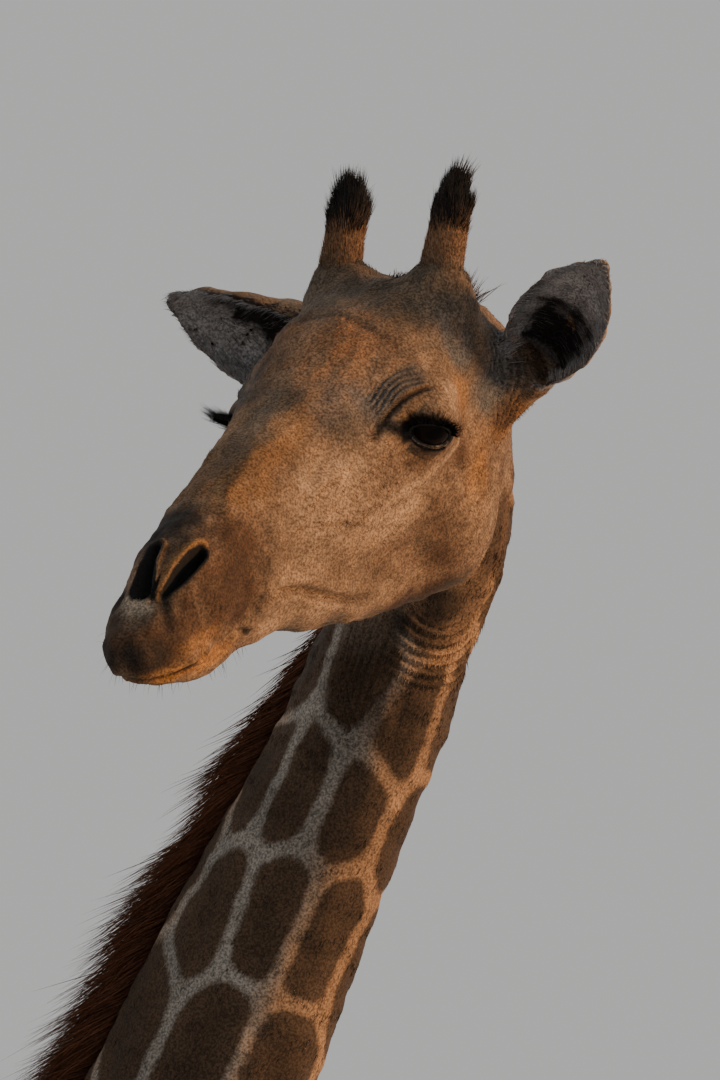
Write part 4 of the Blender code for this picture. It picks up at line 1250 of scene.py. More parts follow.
def add_hair(
    name, material, slot, chart, roots, ways, tops, lengths, widths, bends, rings, tints,
    marks=None, nodes=(), flat=0.35,
):
    """A piece of closed tapering hairs: three sides, a base, and one point at the tip. The colours go
    from root to tip, and each hair has a small patch of the map at its root's place on the chart."""
    sides = unit(np.cross(ways, tops))
    shares = np.append(np.repeat(np.arange(rings) / rings, 3), 1.0)
    rows = []
    for t in shares[:-1:3]:
        centre = roots + (ways * t + bends * t * t) * lengths[:, None]
        half = 0.5 * np.broadcast_to(widths, len(roots))[:, None] * (1 - t) ** 0.7
        rows += [centre - sides * half, centre + sides * half, centre + tops * half * 2 * flat]
    rows.append(roots + (ways + bends) * lengths[:, None])
    corners = np.stack(rows, 1)
    count, each = corners.shape[:2]
    faces = [(0, 1, 2)]
    for a, b in ((0, 2), (2, 1), (1, 0)):
        for low in range(0, 3 * rings - 3, 3):
            faces += [(a + low, b + low, b + low + 3), (a + low, b + low + 3, a + low + 3)]
        faces.append((a + 3 * rings - 3, b + 3 * rings - 3, each - 1))
    loops = (np.array(faces)[None] + each * np.arange(count)[:, None, None]).reshape(-1)
    mesh = bpy.data.meshes.new(name)
    mesh.vertices.add(count * each)
    mesh.vertices.foreach_set("co", corners.astype(np.float32).ravel())
    mesh.loops.add(len(loops))
    mesh.loops.foreach_set("vertex_index", loops.astype(np.int32))
    mesh.polygons.add(len(loops) // 3)
    mesh.polygons.foreach_set("loop_start", np.arange(0, len(loops), 3, dtype=np.int32))
    mesh.update(calc_edges=True)
    mesh.shade_smooth()
    tints = tints if isinstance(tints, tuple) else (tints, tints)
    start, end = (np.broadcast_to(tint, roots.shape) for tint in tints)
    tint = start[:, None] * (1 - shares[:, None]) + end[:, None] * shares[:, None]
    marks = np.zeros((count, 3)) if marks is None else marks
    set_look(mesh, tint.reshape(-1, 3), np.repeat(marks, each, axis=0))
    across = np.array([-0.5, 0.5, 0] * rings + [0])
    spots = chart[:, None, :] + HAIR_PATCH * np.stack((across, shares - 0.5), 1)[None]
    layer = mesh.uv_layers.new(name="OFBake")
    layer.data.foreach_set("uv", spots.reshape(-1, 2)[loops].astype(np.float32).ravel())
    add_piece(name, mesh, material, slot, *nodes)


# ---- Shaders ----
class Value:
    """A shader socket that arithmetic works on."""

    def __init__(self, finish, socket):
        self.finish, self.socket = finish, socket

    def math(self, operation, *terms):
        return self.finish.node("ShaderNodeMath", {"operation": operation}, dict(enumerate(terms)))

    def __add__(self, other):
        return self.math("ADD", self, other)

    def __sub__(self, other):
        return self.math("SUBTRACT", self, other)

    def __rsub__(self, other):
        return self.math("SUBTRACT", other, self)

    def __mul__(self, other):
        return self.math("MULTIPLY", self, other)

    __radd__, __rmul__ = __add__, __mul__


class Finish:
    """A material being made from nodes."""

    def __init__(self, name, **constants):
        self.material = bpy.data.materials.new(name)
        self.material.use_nodes = True
        self.tree = self.material.node_tree
        shader = self.tree.nodes["Principled BSDF"]
        self.sockets = {socket.name.lower().replace(" ", "_"): socket for socket in shader.inputs}
        for name, value in constants.items():
            self.sockets[name].default_value = value

    def node(self, kind, settings=None, values=None, output=0):
        """Any node: its settings are set first, then its sockets, by name or number."""
        node = self.tree.nodes.new(kind)
        for key, setting in (settings or {}).items():
            setattr(node, key, setting)
        for key, value in (values or {}).items():
            if isinstance(value, Value):
                self.tree.links.new(value.socket, node.inputs[key])
            else:
                node.inputs[key].default_value = value
        return Value(self, node.outputs[output])

    def attribute(self, name, output):
        return self.node("ShaderNodeAttribute", {"attribute_name": name}, output=output)

    def place(self):
        return self.node("ShaderNodeTexCoord", output="Object")

    def noise(self, place, scale, detail=2):
        values = {"Vector": place, "Scale": scale, "Detail": detail}
        return self.node("ShaderNodeTexNoise", values=values)

    def between(self, value, low, high):
        """0 to 1, smoothly, as the value goes from low to high."""
        values = {"Value": value, "From Min": low, "From Max": high}
        return self.node("ShaderNodeMapRange", {"interpolation_type": "SMOOTHSTEP"}, values)

    def mix(self, share, first, second, blend="MIX"):
        """Two colours mixed."""
        first, second = (c if isinstance(c, Value) else (*c, 1) for c in (first, second))
        settings = {"data_type": "RGBA", "blend_type": blend}
        return self.node("ShaderNodeMix", settings, {0: share, 6: first, 7: second}, output=2)

    def uneven(self, colour, share, low, high):
        """A colour made darker and lighter, as the share goes from low to high."""
        (start, dark), (end, light) = low, high
        return self.mix(1, colour, self.mix(self.between(share, start, end), dark, light), "MULTIPLY")

    def parts(self, vector):
        split = self.node("ShaderNodeSeparateXYZ", values={0: vector}).socket.node
        return [Value(self, output) for output in split.outputs]

    def bump(self, height, strength, distance):
        values = {"Height": height, "Strength": strength, "Distance": distance}
        return self.node("ShaderNodeBump", values=values)

    def feed(self, **sockets):
        for name, value in sockets.items():
            self.tree.links.new(value.socket, self.sockets[name])
        return self.material


def coat_material(name, colours, bump):
    """The markings over the ground colour, with the speckle of single hairs."""
    finish = Finish(name, sheen_weight=0.04, specular_ior_level=0.18)
    place = finish.place()
    border, strength, gloss = finish.parts(finish.attribute("mark", "Vector"))
    cloud = finish.noise(place, 16, 3)
    edge = border + (finish.noise(place, 130) - 0.5) * 0.007 + (cloud - 0.5) * 0.006
    inner = finish.between(edge + (cloud - 0.5) * 0.03, 0.002, 0.045)
    patch = finish.mix(inner, colours["patch_edge"], colours["patch"])
    share = finish.between(edge, -0.0035, 0.004) * strength
    colour = finish.mix(share, finish.attribute("tint", "Color"), patch)
    grain = finish.noise(place, 430, 3)
    colour = finish.uneven(colour, grain, (0.32, (0.52, 0.5, 0.48)), (0.68, (1.45, 1.42, 1.38)))
    colour = finish.uneven(colour, cloud, (0.36, (0.82, 0.81, 0.8)), (0.64, (1.16, 1.16, 1.16)))
    sockets = {"base_color": colour, "roughness": 0.8 - 0.5 * gloss}
    if bump:
        height = finish.noise(place, 900) + finish.noise(place, 240) * 0.8
        sockets["normal"] = finish.bump(height, 0.45, 0.0006)
    return finish.feed(**sockets)


def hair_material(name, roughness, sheen):
    """Hair of one kind: each hair's own colour, streaked along it."""
    finish = Finish(name, sheen_weight=sheen, specular_ior_level=0.2)
    place = finish.place()
    colour, streak = finish.attribute("tint", "Color"), finish.noise(place, 380)
    colour = finish.uneven(colour, streak, (0.3, (0.7, 0.7, 0.7)), (0.7, (1.3, 1.28, 1.25)))
    uneven = roughness - 0.08 + 0.16 * finish.noise(place, 60)
    return finish.feed(base_color=colour, roughness=uneven)


def eye_material():
    finish = Finish(
        "eye", coat_weight=0.14, coat_roughness=0.015, coat_ior=1.38, specular_ior_level=0.03
    )
    place = finish.place()
    colour, threads = finish.attribute("tint", "Color"), finish.noise(place, 900, 3)
    colour = finish.uneven(colour, threads, (0.25, (0.6, 0.6, 0.6)), (0.75, (1.5, 1.4, 1.3)))
    return finish.feed(base_color=colour, roughness=0.05 + 0.04 * finish.noise(place, 40))


def claw_material(colours):
    """Horn in faint level rings, worn paler towards the floor."""
    finish = Finish("hoof", specular_ior_level=0.4)
    place = finish.place()
    height = finish.parts(place)[2]
    wander = finish.noise(place, 14, 3)
    rings = (height * 520 + wander * 9).math("SINE") * 0.5 + 0.5
    values = {0: place, 1: (160, 160, 9)}
    drawn = finish.node("ShaderNodeVectorMath", {"operation": "MULTIPLY"}, values)
    streaks = finish.noise(drawn, 1, 3)
    dark, worn = colours["hoof"], colours["hoof_worn"]
    colour = finish.mix(finish.between(streaks, 0.25, 0.75) * 0.7, dark, worn)
    low = finish.between(height + (wander - 0.5) * 0.03, 0.03, 0.002)
    colour = finish.mix(rings * 0.25, finish.mix(low * 0.8, colour, worn), (0.02, 0.017, 0.015))
    relief = rings * 0.6 + streaks + finish.noise(place, 300) * 0.5
    bump = finish.bump(relief, 0.6, 0.0012)
    return finish.feed(base_color=colour, roughness=0.42 + 0.3 * streaks, normal=bump)


# ---- Settings ----
def colour_setting(name, description, default):
    return bpy.props.FloatVectorProperty(
        name=name, description=description, default=default, subtype="COLOR", size=3, min=0.0, max=1.0
    )


def length_setting(name, description, default):
    return bpy.props.FloatProperty(
        name=name, description=description, default=default, min=0.0, unit="LENGTH", precision=4
    )


def strength_setting(name, description, default):
    return bpy.props.FloatProperty(name=name, description=description, default=default, min=0.0)


def count_setting(name, description, default):
    return bpy.props.IntProperty(name=name, description=description, default=default, min=1)


class GiraffeSkinSettings(bpy.types.PropertyGroup):
    head_step: length_setting("Head step", "Size of the skin's faces on the head", 0.0042)
    neck_step: length_setting("Neck step", "Size of the skin's faces on the upper neck", 0.007)
    body_step: length_setting("Body step", "Size of the skin's faces on the body", 0.017)


class GiraffeCoatSettings(bpy.types.PropertyGroup):
    head: count_setting("Head tufts", "Tufts on each side of the head", 42000)
    upper_neck: count_setting("Upper neck tufts", "Tufts on the upper neck", 46000)
    lower_neck: count_setting("Lower neck tufts", "Tufts on the lower neck and withers", 31000)
    trunk: count_setting("Trunk tufts", "Tufts on the trunk", 44000)
    legs: count_setting("Leg tufts", "Tufts on the legs and tail", 44000)
    ears: count_setting("Ear tufts", "Tufts on both ears", 21000)
    mane: count_setting("Mane locks", "Locks in the brush along the neck", 18500)
    mane_height: length_setting("Mane height", "How long the hair of the brush is", 0.078)
    crest: count_setting("Crest hairs", "Bristles behind the horns", 900)
    horn: count_setting("Horn hairs", "Hairs on each horn", 5200)
    lash_length: length_setting("Lash length", "Length of the longest lashes", 0.026)


class GiraffeColours(bpy.types.PropertyGroup):
    cream: colour_setting("Cream", "Lines between the patches", (0.215, 0.205, 0.188))
    pale: colour_setting("Pale", "Belly, shins and the spot over the lip", (0.34, 0.29, 0.225))
    tan: colour_setting("Tan", "Ground colour of the face", (0.165, 0.105, 0.064))
    fawn: colour_setting("Fawn", "Light hair of the cheeks", (0.3, 0.2, 0.125))
    amber: colour_setting("Amber", "Warm hair of jaw and lip", (0.32, 0.15, 0.042))
    # Amber also paints warm light on the lips and the front of the neck, and highlights on the nostrils'
    # rims.
    rust: colour_setting("Rust", "Warm hair of the forehead", (0.24, 0.125, 0.062))
    # Ash also paints shade on the back of the right ear.
    ash: colour_setting("Ash", "Grey-brown hair of the crown", (0.09, 0.069, 0.05))
    slate: colour_setting("Slate", "Grey skin of brow and ear root", (0.085, 0.082, 0.08))
    # Umber also paints shade under the eye and the jaw.
    umber: colour_setting("Umber", "Dark brown hair of the muzzle", (0.062, 0.032, 0.016))
    # Soot also paints shade in creases, grooves and folds, under the jaw and on the right of the face.
    soot: colour_setting("Soot", "Darkest hair of the face", (0.018, 0.013, 0.01))
    # Black also paints shade within the nostrils, between the lips, in the ear cups and under the jaw.
    black: colour_setting("Black", "Bare skin of eye rims and nostrils", (0.006, 0.005, 0.005))
    # The lid colour is a painted highlight along the wet lower lid.
    lid: colour_setting("Lid", "Moist edge of the lower lid", (0.18, 0.14, 0.115))
    ear: colour_setting("Ear", "Pale hair within the ears", (0.3, 0.31, 0.33))
    patch: colour_setting("Patch", "Middle of the patches", (0.04, 0.025, 0.015))
    patch_edge: colour_setting("Patch edge", "Edge of the patches", (0.062, 0.04, 0.025))
    mane: colour_setting("Mane", "Roots of the mane", (0.075, 0.028, 0.014))
    mane_tip: colour_setting("Mane tips", "Tips of the mane", (0.165, 0.068, 0.032))
    brush: colour_setting("Brush", "Black hair of horns and tail", (0.016, 0.013, 0.012))
    hoof: colour_setting("Hoof", "Horn of the claws", (0.06, 0.048, 0.04))
    hoof_worn: colour_setting("Worn hoof", "Worn horn near the floor", (0.175, 0.145, 0.115))
    floor: colour_setting("Floor", "The studio floor", (0.62, 0.61, 0.6))


class GiraffeStageSettings(bpy.types.PropertyGroup):
    key: strength_setting("Key light", "Strength of the warm low light", 4.3)
    fill: strength_setting("Room light", "Strength of the light all round", 0.98)
    room: colour_setting("Room", "Colour of the room", (0.5, 0.495, 0.49))


def colours_of(scene):
    settings = scene.giraffe_colours
    return {name: np.array(getattr(settings, name)) for name in GiraffeColours.__annotations__}


def thinned(count):
    """The number of hairs, as given."""
    return count


# ---- Pieces ----
def skin_state():
    """The finished skin's surface and the middles of its patches."""
    surface = surface_of(bpy.data.objects["skin"].data)
    return surface, Patches(surface[0], surface[1], np.random.default_rng(41))


class GIRAFFE_OT_skin(bpy.types.Operator):
    """Build the skin of head, ears, neck, body, legs and tail in one piece"""

    bl_idname = "giraffe.skin"
    bl_label = "Skin"

    def execute(self, context):
        mesh = skin_mesh(context.scene.giraffe_skin)
        colours = colours_of(context.scene)
        flesh = "head", "neck_", "trunk", "foreleg", "hindleg", "ear_"
        nodes = [name for name in frame["nodes"] if name.startswith(flesh)]
        add_piece("skin", mesh, coat_material("short_coat", colours, True), "coat", *nodes, "tail")
        (points, normals, _), patches = skin_state()
        tint, border, strength, _, _ = painted(points, normals, patches, colours)
        inside, radius, _ = lids(to_head(points))
        set_look(mesh, tint, xyz(border, strength, (radius < 0.034) * eased(inside, -0.003, 0)))
        return {"FINISHED"}


def bare(points):
    """Where no short hair grows: within lids, nostrils and mouth."""
    local = to_head(points)
    inside, radius, _ = lids(local)
    hidden = (inside > -0.003) & (radius < 0.045)
    from_mouth, _ = line_distance(folded(local), MOUTH_LINE)
    return hidden | (outside_nostrils(local) < 0.0012) | (from_mouth < 0.0022)


def chart_of(name, points, ears):
    """Where a region's hairs lie on its map."""
    if name == "ears":
        return ear_chart(ears)
    return head_chart(points) if "head" in name else body_chart(points)


def add_coat(name, where, count, length, width, lift, seed, state, colours, material):
    """One region's tufts, of this length and width, lifted this much off the skin."""
    surface, patches = state
    rng = np.random.default_rng(seed)
    count = thinned(count)
    roots, tops = scattered(surface, where.astype(float), count, rng)
    tint, border, strength, ears, head = painted(roots, tops, patches, colours)
    ways = hair_lie(roots, tops, head, ears)
    astray = np.cross(ways, tops) * rng.normal(0, 0.16, (count, 1))
    ways = unit(ways + astray + tops * (lift + rng.normal(0, 0.05, (count, 1))))
    long = (length(roots) if callable(length) else length) * rng.uniform(0.75, 1.25, count)
    vary = np.where(head > 0.5, 0.34, 0.16)[:, None]
    tint = tint * (1 + vary * rng.uniform(-1, 1, (count, 1)))
    marks = xyz(border + rng.normal(0, 0.001, count), strength, 0)
    wide = width * (long / long.max()) ** 0.5 * rng.uniform(0.8, 1.2, count)
    add_hair(
        "coat_" + name, material, "coat", chart_of(name, roots, ears), roots - tops * 0.0006, ways,
        tops, long, wide, -0.1 * tops, 1, (tint * 0.9, tint * 1.1), marks, flat=0.3,
    )


def leg_length(points):
    return 0.013 + 0.01 * eased(points[:, 2], 0.3, 1.3)


def face_length(points):
    """Short on the muzzle and about the eyes, longer towards the jaw and the ears."""
    side = folded(to_head(points))
    long = 0.0092 - 0.0045 * eased(side[:, 0], 0.33, 0.55)
    long *= 0.45 + 0.55 * eased(np.linalg.norm(side - EYE, axis=1), 0.03, 0.065)
    long += 0.0045 * bump_at(side, (110, 30, 135), (90, 90, 60))
    return long + 0.004 * bump_at(side, (40, 90, 0), (40, 40, 50))


class GIRAFFE_OT_coat(bpy.types.Operator):
    """Lay the short coat over the skin in tufts, in one piece for each region"""

    bl_idname = "giraffe.coat"
    bl_label = "Coat"

    def execute(self, context):
        counts, colours = context.scene.giraffe_coat, colours_of(context.scene)
        state = skin_state()
        points = state[0][0]
        local = to_head(points)
        z = points[:, 2] - SHIFT[2]
        drop = POLL[2] - z
        ears = ear_nearness(points)
        on_ear = ears["on"] * eased(ears["share"], 0.05, 0.1) > 0.5
        on_head = ((local - THROAT) @ THROAT_WAY < 0.012) & (z > 3.5)
        hair = ~bare(points) & ~on_ear
        left, right = (hair & on_head & half for half in (local[:, 1] >= 0, local[:, 1] < 0))
        material = coat_material("coat_hair", colours, False)
        # Region, where it grows, tufts, length, width, lift and seed.
        for region in (
            ("head_left", left, counts.head, face_length, 0.0012, 0.16, 100),
            ("head_right", right, counts.head, face_length, 0.0012, 0.16, 101),
            ("upper_neck", hair & ~on_head & (drop < 0.8), counts.upper_neck, 0.01, 0.0016, 0.11, 102),
            ("lower_neck", (drop >= 0.78) & (z > 2.45), counts.lower_neck, 0.02, 0.0036, 0.11, 103),
            ("trunk", (z <= 2.47) & (z > 1.45), counts.trunk, 0.03, 0.0068, 0.1, 104),
            ("legs", (z <= 1.47) & (z > 0.095), counts.legs, leg_length, 0.0044, 0.1, 105),
            ("ears", on_ear, counts.ears, 0.0048, 0.001, 0.05, 120),
        ):
            add_coat(*region, state, colours, material)
        return {"FINISHED"}


def clumped(points, size, seed):
    """Three soft clouds together, which draw hairs into clumps about this size across."""
    return np.stack([cloudy(points, size, seed + k) for k in range(3)], 1)


def crest_hair(surface, count, rng):
    """Bristles on the crest of the head, from behind the horns to the mane: roots, ways and lengths."""
    x, y, z = to_head(surface[0]).T
    where = (np.abs(y) < 0.014) & (np.abs(x - 0.012) < 0.052) & (z > 0.02)
    roots, tops = scattered(surface, where.astype(float), count, rng)
    forward = eased(to_head(roots)[:, 0], -0.03, 0.064)
    ways = unit(tops + NECK_AXIS * 0.25 + rng.normal(0, 0.2, (count, 3)))
    return roots, ways, (0.04 - 0.03 * forward) * rng.uniform(0.35, 1.1, count)


MANE_HALF_WIDTH = 0.017


def mane_height(drops, height):
    end = np.minimum(np.minimum((drops + 0.068) / 0.2, (1.5 - drops) / 0.4), 1)
    return height * np.sqrt(np.maximum(end, 0.05)) * (0.8 + 0.35 * eased(drops, 0.15, 0.55))


class GIRAFFE_OT_mane(bpy.types.Operator):
    """Set the brush of stiff hair along the crest of the neck"""

    bl_idname = "giraffe.mane"
    bl_label = "Mane"

    def execute(self, context):
        coat, colours = context.scene.giraffe_coat, colours_of(context.scene)
        brush, mane, mane_tip = (colours[name] for name in ("brush", "mane", "mane_tip"))
        rng = np.random.default_rng(7)
        count = thinned(coat.mane)
        drops = rng.uniform(0, 1, count) ** 1.25 * 1.52 - 0.05
        drops += 0.04 * rng.uniform(0, 1, count) * (drops < -0.015)
        forward, left, half_depth, half_width, twist = smooth(NECK_SLICES, drops)
        turn = np.radians(twist)
        off = rng.uniform(-1, 1, count) * MANE_HALF_WIDTH
        crest = half_depth * np.sqrt(1 - np.square(off / half_width))
        along = coat_depth(POLL - xyz(off, off, drops)) - crest + 0.002
        across = xyz(-np.sin(turn), np.cos(turn), 0)
        outward = -xyz(np.cos(turn), np.sin(turn), 0)
        middle = POLL + SHIFT + xyz(forward, left, -drops)
        roots = middle - outward * along[:, None] + across * off[:, None]
        fan = across * (off / MANE_HALF_WIDTH * 0.16)[:, None]
        clumps = clumped(roots, 0.045, 70)
        ways = outward + fan + NECK_AXIS * (0.66 + 0.16 * clumps[:, :1]) + 0.1 * clumps
        ways = ways + rng.normal(0, 0.11, (count, 3))
        long = mane_height(drops, coat.mane_height) * (1 + 0.1 * clumps[:, 1])
        long *= rng.uniform(0.55 - 0.35 * eased(drops, 0.03, -0.03), 1.1)
        bends = NECK_AXIS * 0.34 + rng.normal(0, 0.09, (count, 3))
        shade = rng.uniform(0.6, 1.4, (count, 1))
        dark = eased(drops, 0.12, -0.02)
        tints = mixed(mane, brush * 2, dark) * shade, mixed(mane_tip, brush, dark) * shade
        chart = np.stack((0.5 + off / 0.05, np.clip((drops + 0.08) / 1.6, 0, 1)), 1)
        add_hair(
            "mane", hair_material("mane", 0.55, 0.03), "mane", chart, roots, unit(ways),
            unit(np.cross(ways, across)), long, rng.uniform(0.0014, 0.003, count), bends, 2, tints,
            nodes=("mane_upper", "mane_lower"), flat=0.5,
        )
        count = thinned(coat.crest)
        surface = surface_of(bpy.data.objects["skin"].data)
        roots, ways, long = crest_hair(surface, count, rng)
        shade = rng.uniform(0.6, 1.4, (count, 1))
        wide = rng.uniform(0.0008, 0.0015, count)
        bends = NECK_AXIS * 0.2 + rng.normal(0, 0.1, (count, 3))
        add_hair(
            "crest_hair", hair_material("crest_hair", 0.55, 0.03), "mane", head_chart(roots), roots,
            ways, unit(np.cross(ways, (0, 1, 0))), long, wide, bends, 3,
            (brush * 2 * shade, mane * shade), flat=0.6,
        )
        return {"FINISHED"}


def horn_bend(side, shares):
    """How far a horn's middle bows towards the view's right, higher up more."""
    bow = HORN_BENDS[side] * np.clip((shares - 0.25) / 0.6, 0, 1.4) ** 1.4
    return bow[:, None] * (math.cos(VIEW_BEARING), math.sin(VIEW_BEARING), 0)


def horn_mesh(side, lengths=60, around=40):
    """One horn without its hair, the way it points, and each point's share of its length."""
    root, tip = map(Vector, horn_ends(side))
    turn = np.array((tip - root).normalized().to_track_quat("Z", "X").to_matrix())
    shares = np.linspace(HORN_OUTLINE[0][0], HORN_OUTLINE[-1][0], lengths)
    (radii,) = smooth(HORN_OUTLINE, shares)
    angles = 0.5 * math.pi * np.arange(1, 7) / 6.02
    shares = np.append(shares, shares[-1] + 0.013 * np.sin(angles) / (tip - root).length)
    radii = np.append(radii, radii[-1] * np.cos(angles))
    turns = math.tau * np.arange(around) / around
    ring = xyz(np.cos(turns), np.sin(turns), 0) @ turn.T
    root, way = np.array(root), np.array(tip - root)
    rows = [root + share * way + ring * radius for share, radius in zip(shares, radii)]
    corners = np.arange(len(rows) * around).reshape(len(rows), around)
    beside = np.roll(corners, -1, axis=1)
    quads = np.stack((corners[:-1], beside[:-1], beside[1:], corners[1:]), -1).reshape(-1, 4)
    shares = np.repeat(shares, around)
    points = from_head(np.concatenate(rows)) + horn_bend(side, shares)
    faces = [*quads.tolist(), corners[-1].tolist(), corners[0, ::-1].tolist()]
    mesh = bpy.data.meshes.new("horn")
    mesh.from_pydata(points.tolist(), [], faces)
    mesh.shade_smooth()
    return mesh, unit(way @ TURN.T), shares


def horn_tint(colours, shares, warmth, black):
    """A horn's colours: grey-brown, warmer higher up, and black in its brush."""
    tint = np.tile(colours["ash"], (len(shares), 1))
    tint = toned(tint, colours["rust"], warmth * eased(shares, 0.26, 0.5))
    return toned(tint, colours["brush"], black)


class GIRAFFE_OT_horns(bpy.types.Operator):
    """Build the two skin-covered horns with their short hair and black brushes"""

    bl_idname = "giraffe.horns"
    bl_label = "Horns"

    def execute(self, context):
        colours = colours_of(context.scene)
        skin_finish = bpy.data.objects["skin"].data.materials[0]
        hair_finish = hair_material("horn_hair", 0.65, 0)
        for side, word in SIDES.items():
            rng = np.random.default_rng(30 + side)
            mesh, axis, shares = horn_mesh(side)
            set_look(mesh, horn_tint(colours, shares, 0.5, eased(shares, 0.56, 0.66)))
            add_piece("horn_" + word, mesh, skin_finish, "coat", "ossicone_" + word)
            count = thinned(context.scene.giraffe_coat.horn)
            where = eased(shares, 0.24, 0.34) * (1 + 1.2 * (shares > HORN_HAIR_STARTS))
            roots, tops = scattered(surface_of(mesh), where, count, rng)
            root, tip = map(from_head, horn_ends(side))
            share = (roots - root) @ axis / np.linalg.norm(tip - root)
            brush = eased(share + rng.normal(0, 0.045, count), 0.58, 0.67)
            clumps = clumped(roots, 0.016, 50)
            ways = axis + tops * 0.22 + rng.normal(0, 0.11, (count, 3)) + 0.22 * clumps * brush[:, None]
            ways = unit(ways + 26 * (horn_bend(side, share) - horn_bend(side, share - 0.15)))
            long = 0.008 + 0.02 * brush * eased(share, 0.5, 0.82) * (1 + 0.35 * clumps[:, 0])
            long *= rng.uniform(0.65, 1.25 if side < 0 else 1, count)
            tint = horn_tint(colours, share, 0.75, brush) * rng.uniform(0.7, 1.3, (count, 1))
            local = (roots - root) - np.outer((roots - root) @ axis, axis)
            chart = round_chart(local[:, 1], local[:, 0], (share + 0.2) / 1.3)
            bends = 0.12 * axis - 0.1 * tops * brush[:, None]
            add_hair(
                "horn_hair_" + word, hair_finish, "dark_hair", chart, roots - tops * 0.0008, ways, tops,
                long, 0.0011 + 0.0004 * brush, bends, 2, tint,
            )
        return {"FINISHED"}


def mesh_of(bm, name):
    mesh = bpy.data.meshes.new(name)
    bm.to_mesh(mesh)
    bm.free()
    return mesh


IRIS, PUPIL, EYE_EDGE = (0.008, 0.004, 0.003), (0.002, 0.002, 0.002), (0.004, 0.003, 0.003)


class GIRAFFE_OT_eyes(bpy.types.Operator):
    """Set the glossy eyeballs behind the lids"""

    bl_idname = "giraffe.eyes"
    bl_label = "Eyes"

    def execute(self, context):
        material = eye_material()
        for side, word in SIDES.items():
            bm = bmesh.new()
            bmesh.ops.create_uvsphere(bm, u_segments=72, v_segments=48, radius=1)
            ways = unit(np.array([v.co for v in bm.verts]))
            mirror = np.array((1, side, 1))
            gaze = GAZE * mirror
            level = unit(np.cross(gaze, UP))
            angle = np.degrees(np.arccos(np.clip(ways @ gaze, -1, 1)))
            radius = BALL_RADIUS + 0.001 * peak(angle, 30)
            moved(bm, from_head(EYE * mirror + ways * radius[:, None]))
            bmesh.ops.recalc_face_normals(bm, faces=bm.faces)
            mesh = mesh_of(bm, "eye")
            mesh.shade_smooth()
            pupil = np.hypot((ways @ level) / 0.42, (ways @ np.cross(level, gaze)) / 0.24)
            tint = np.tile(IRIS, (len(ways), 1))
            tint = toned(tint, PUPIL, faded(pupil, 0.85, 1.05))
            set_look(mesh, toned(tint, EYE_EDGE, eased(angle, 34, 42)))
            add_piece("eyeball_" + word, mesh, material, "eye", "eye_" + word)
        return {"FINISHED"}


UPPER_LASHES, LOWER_LASHES = 620, 90


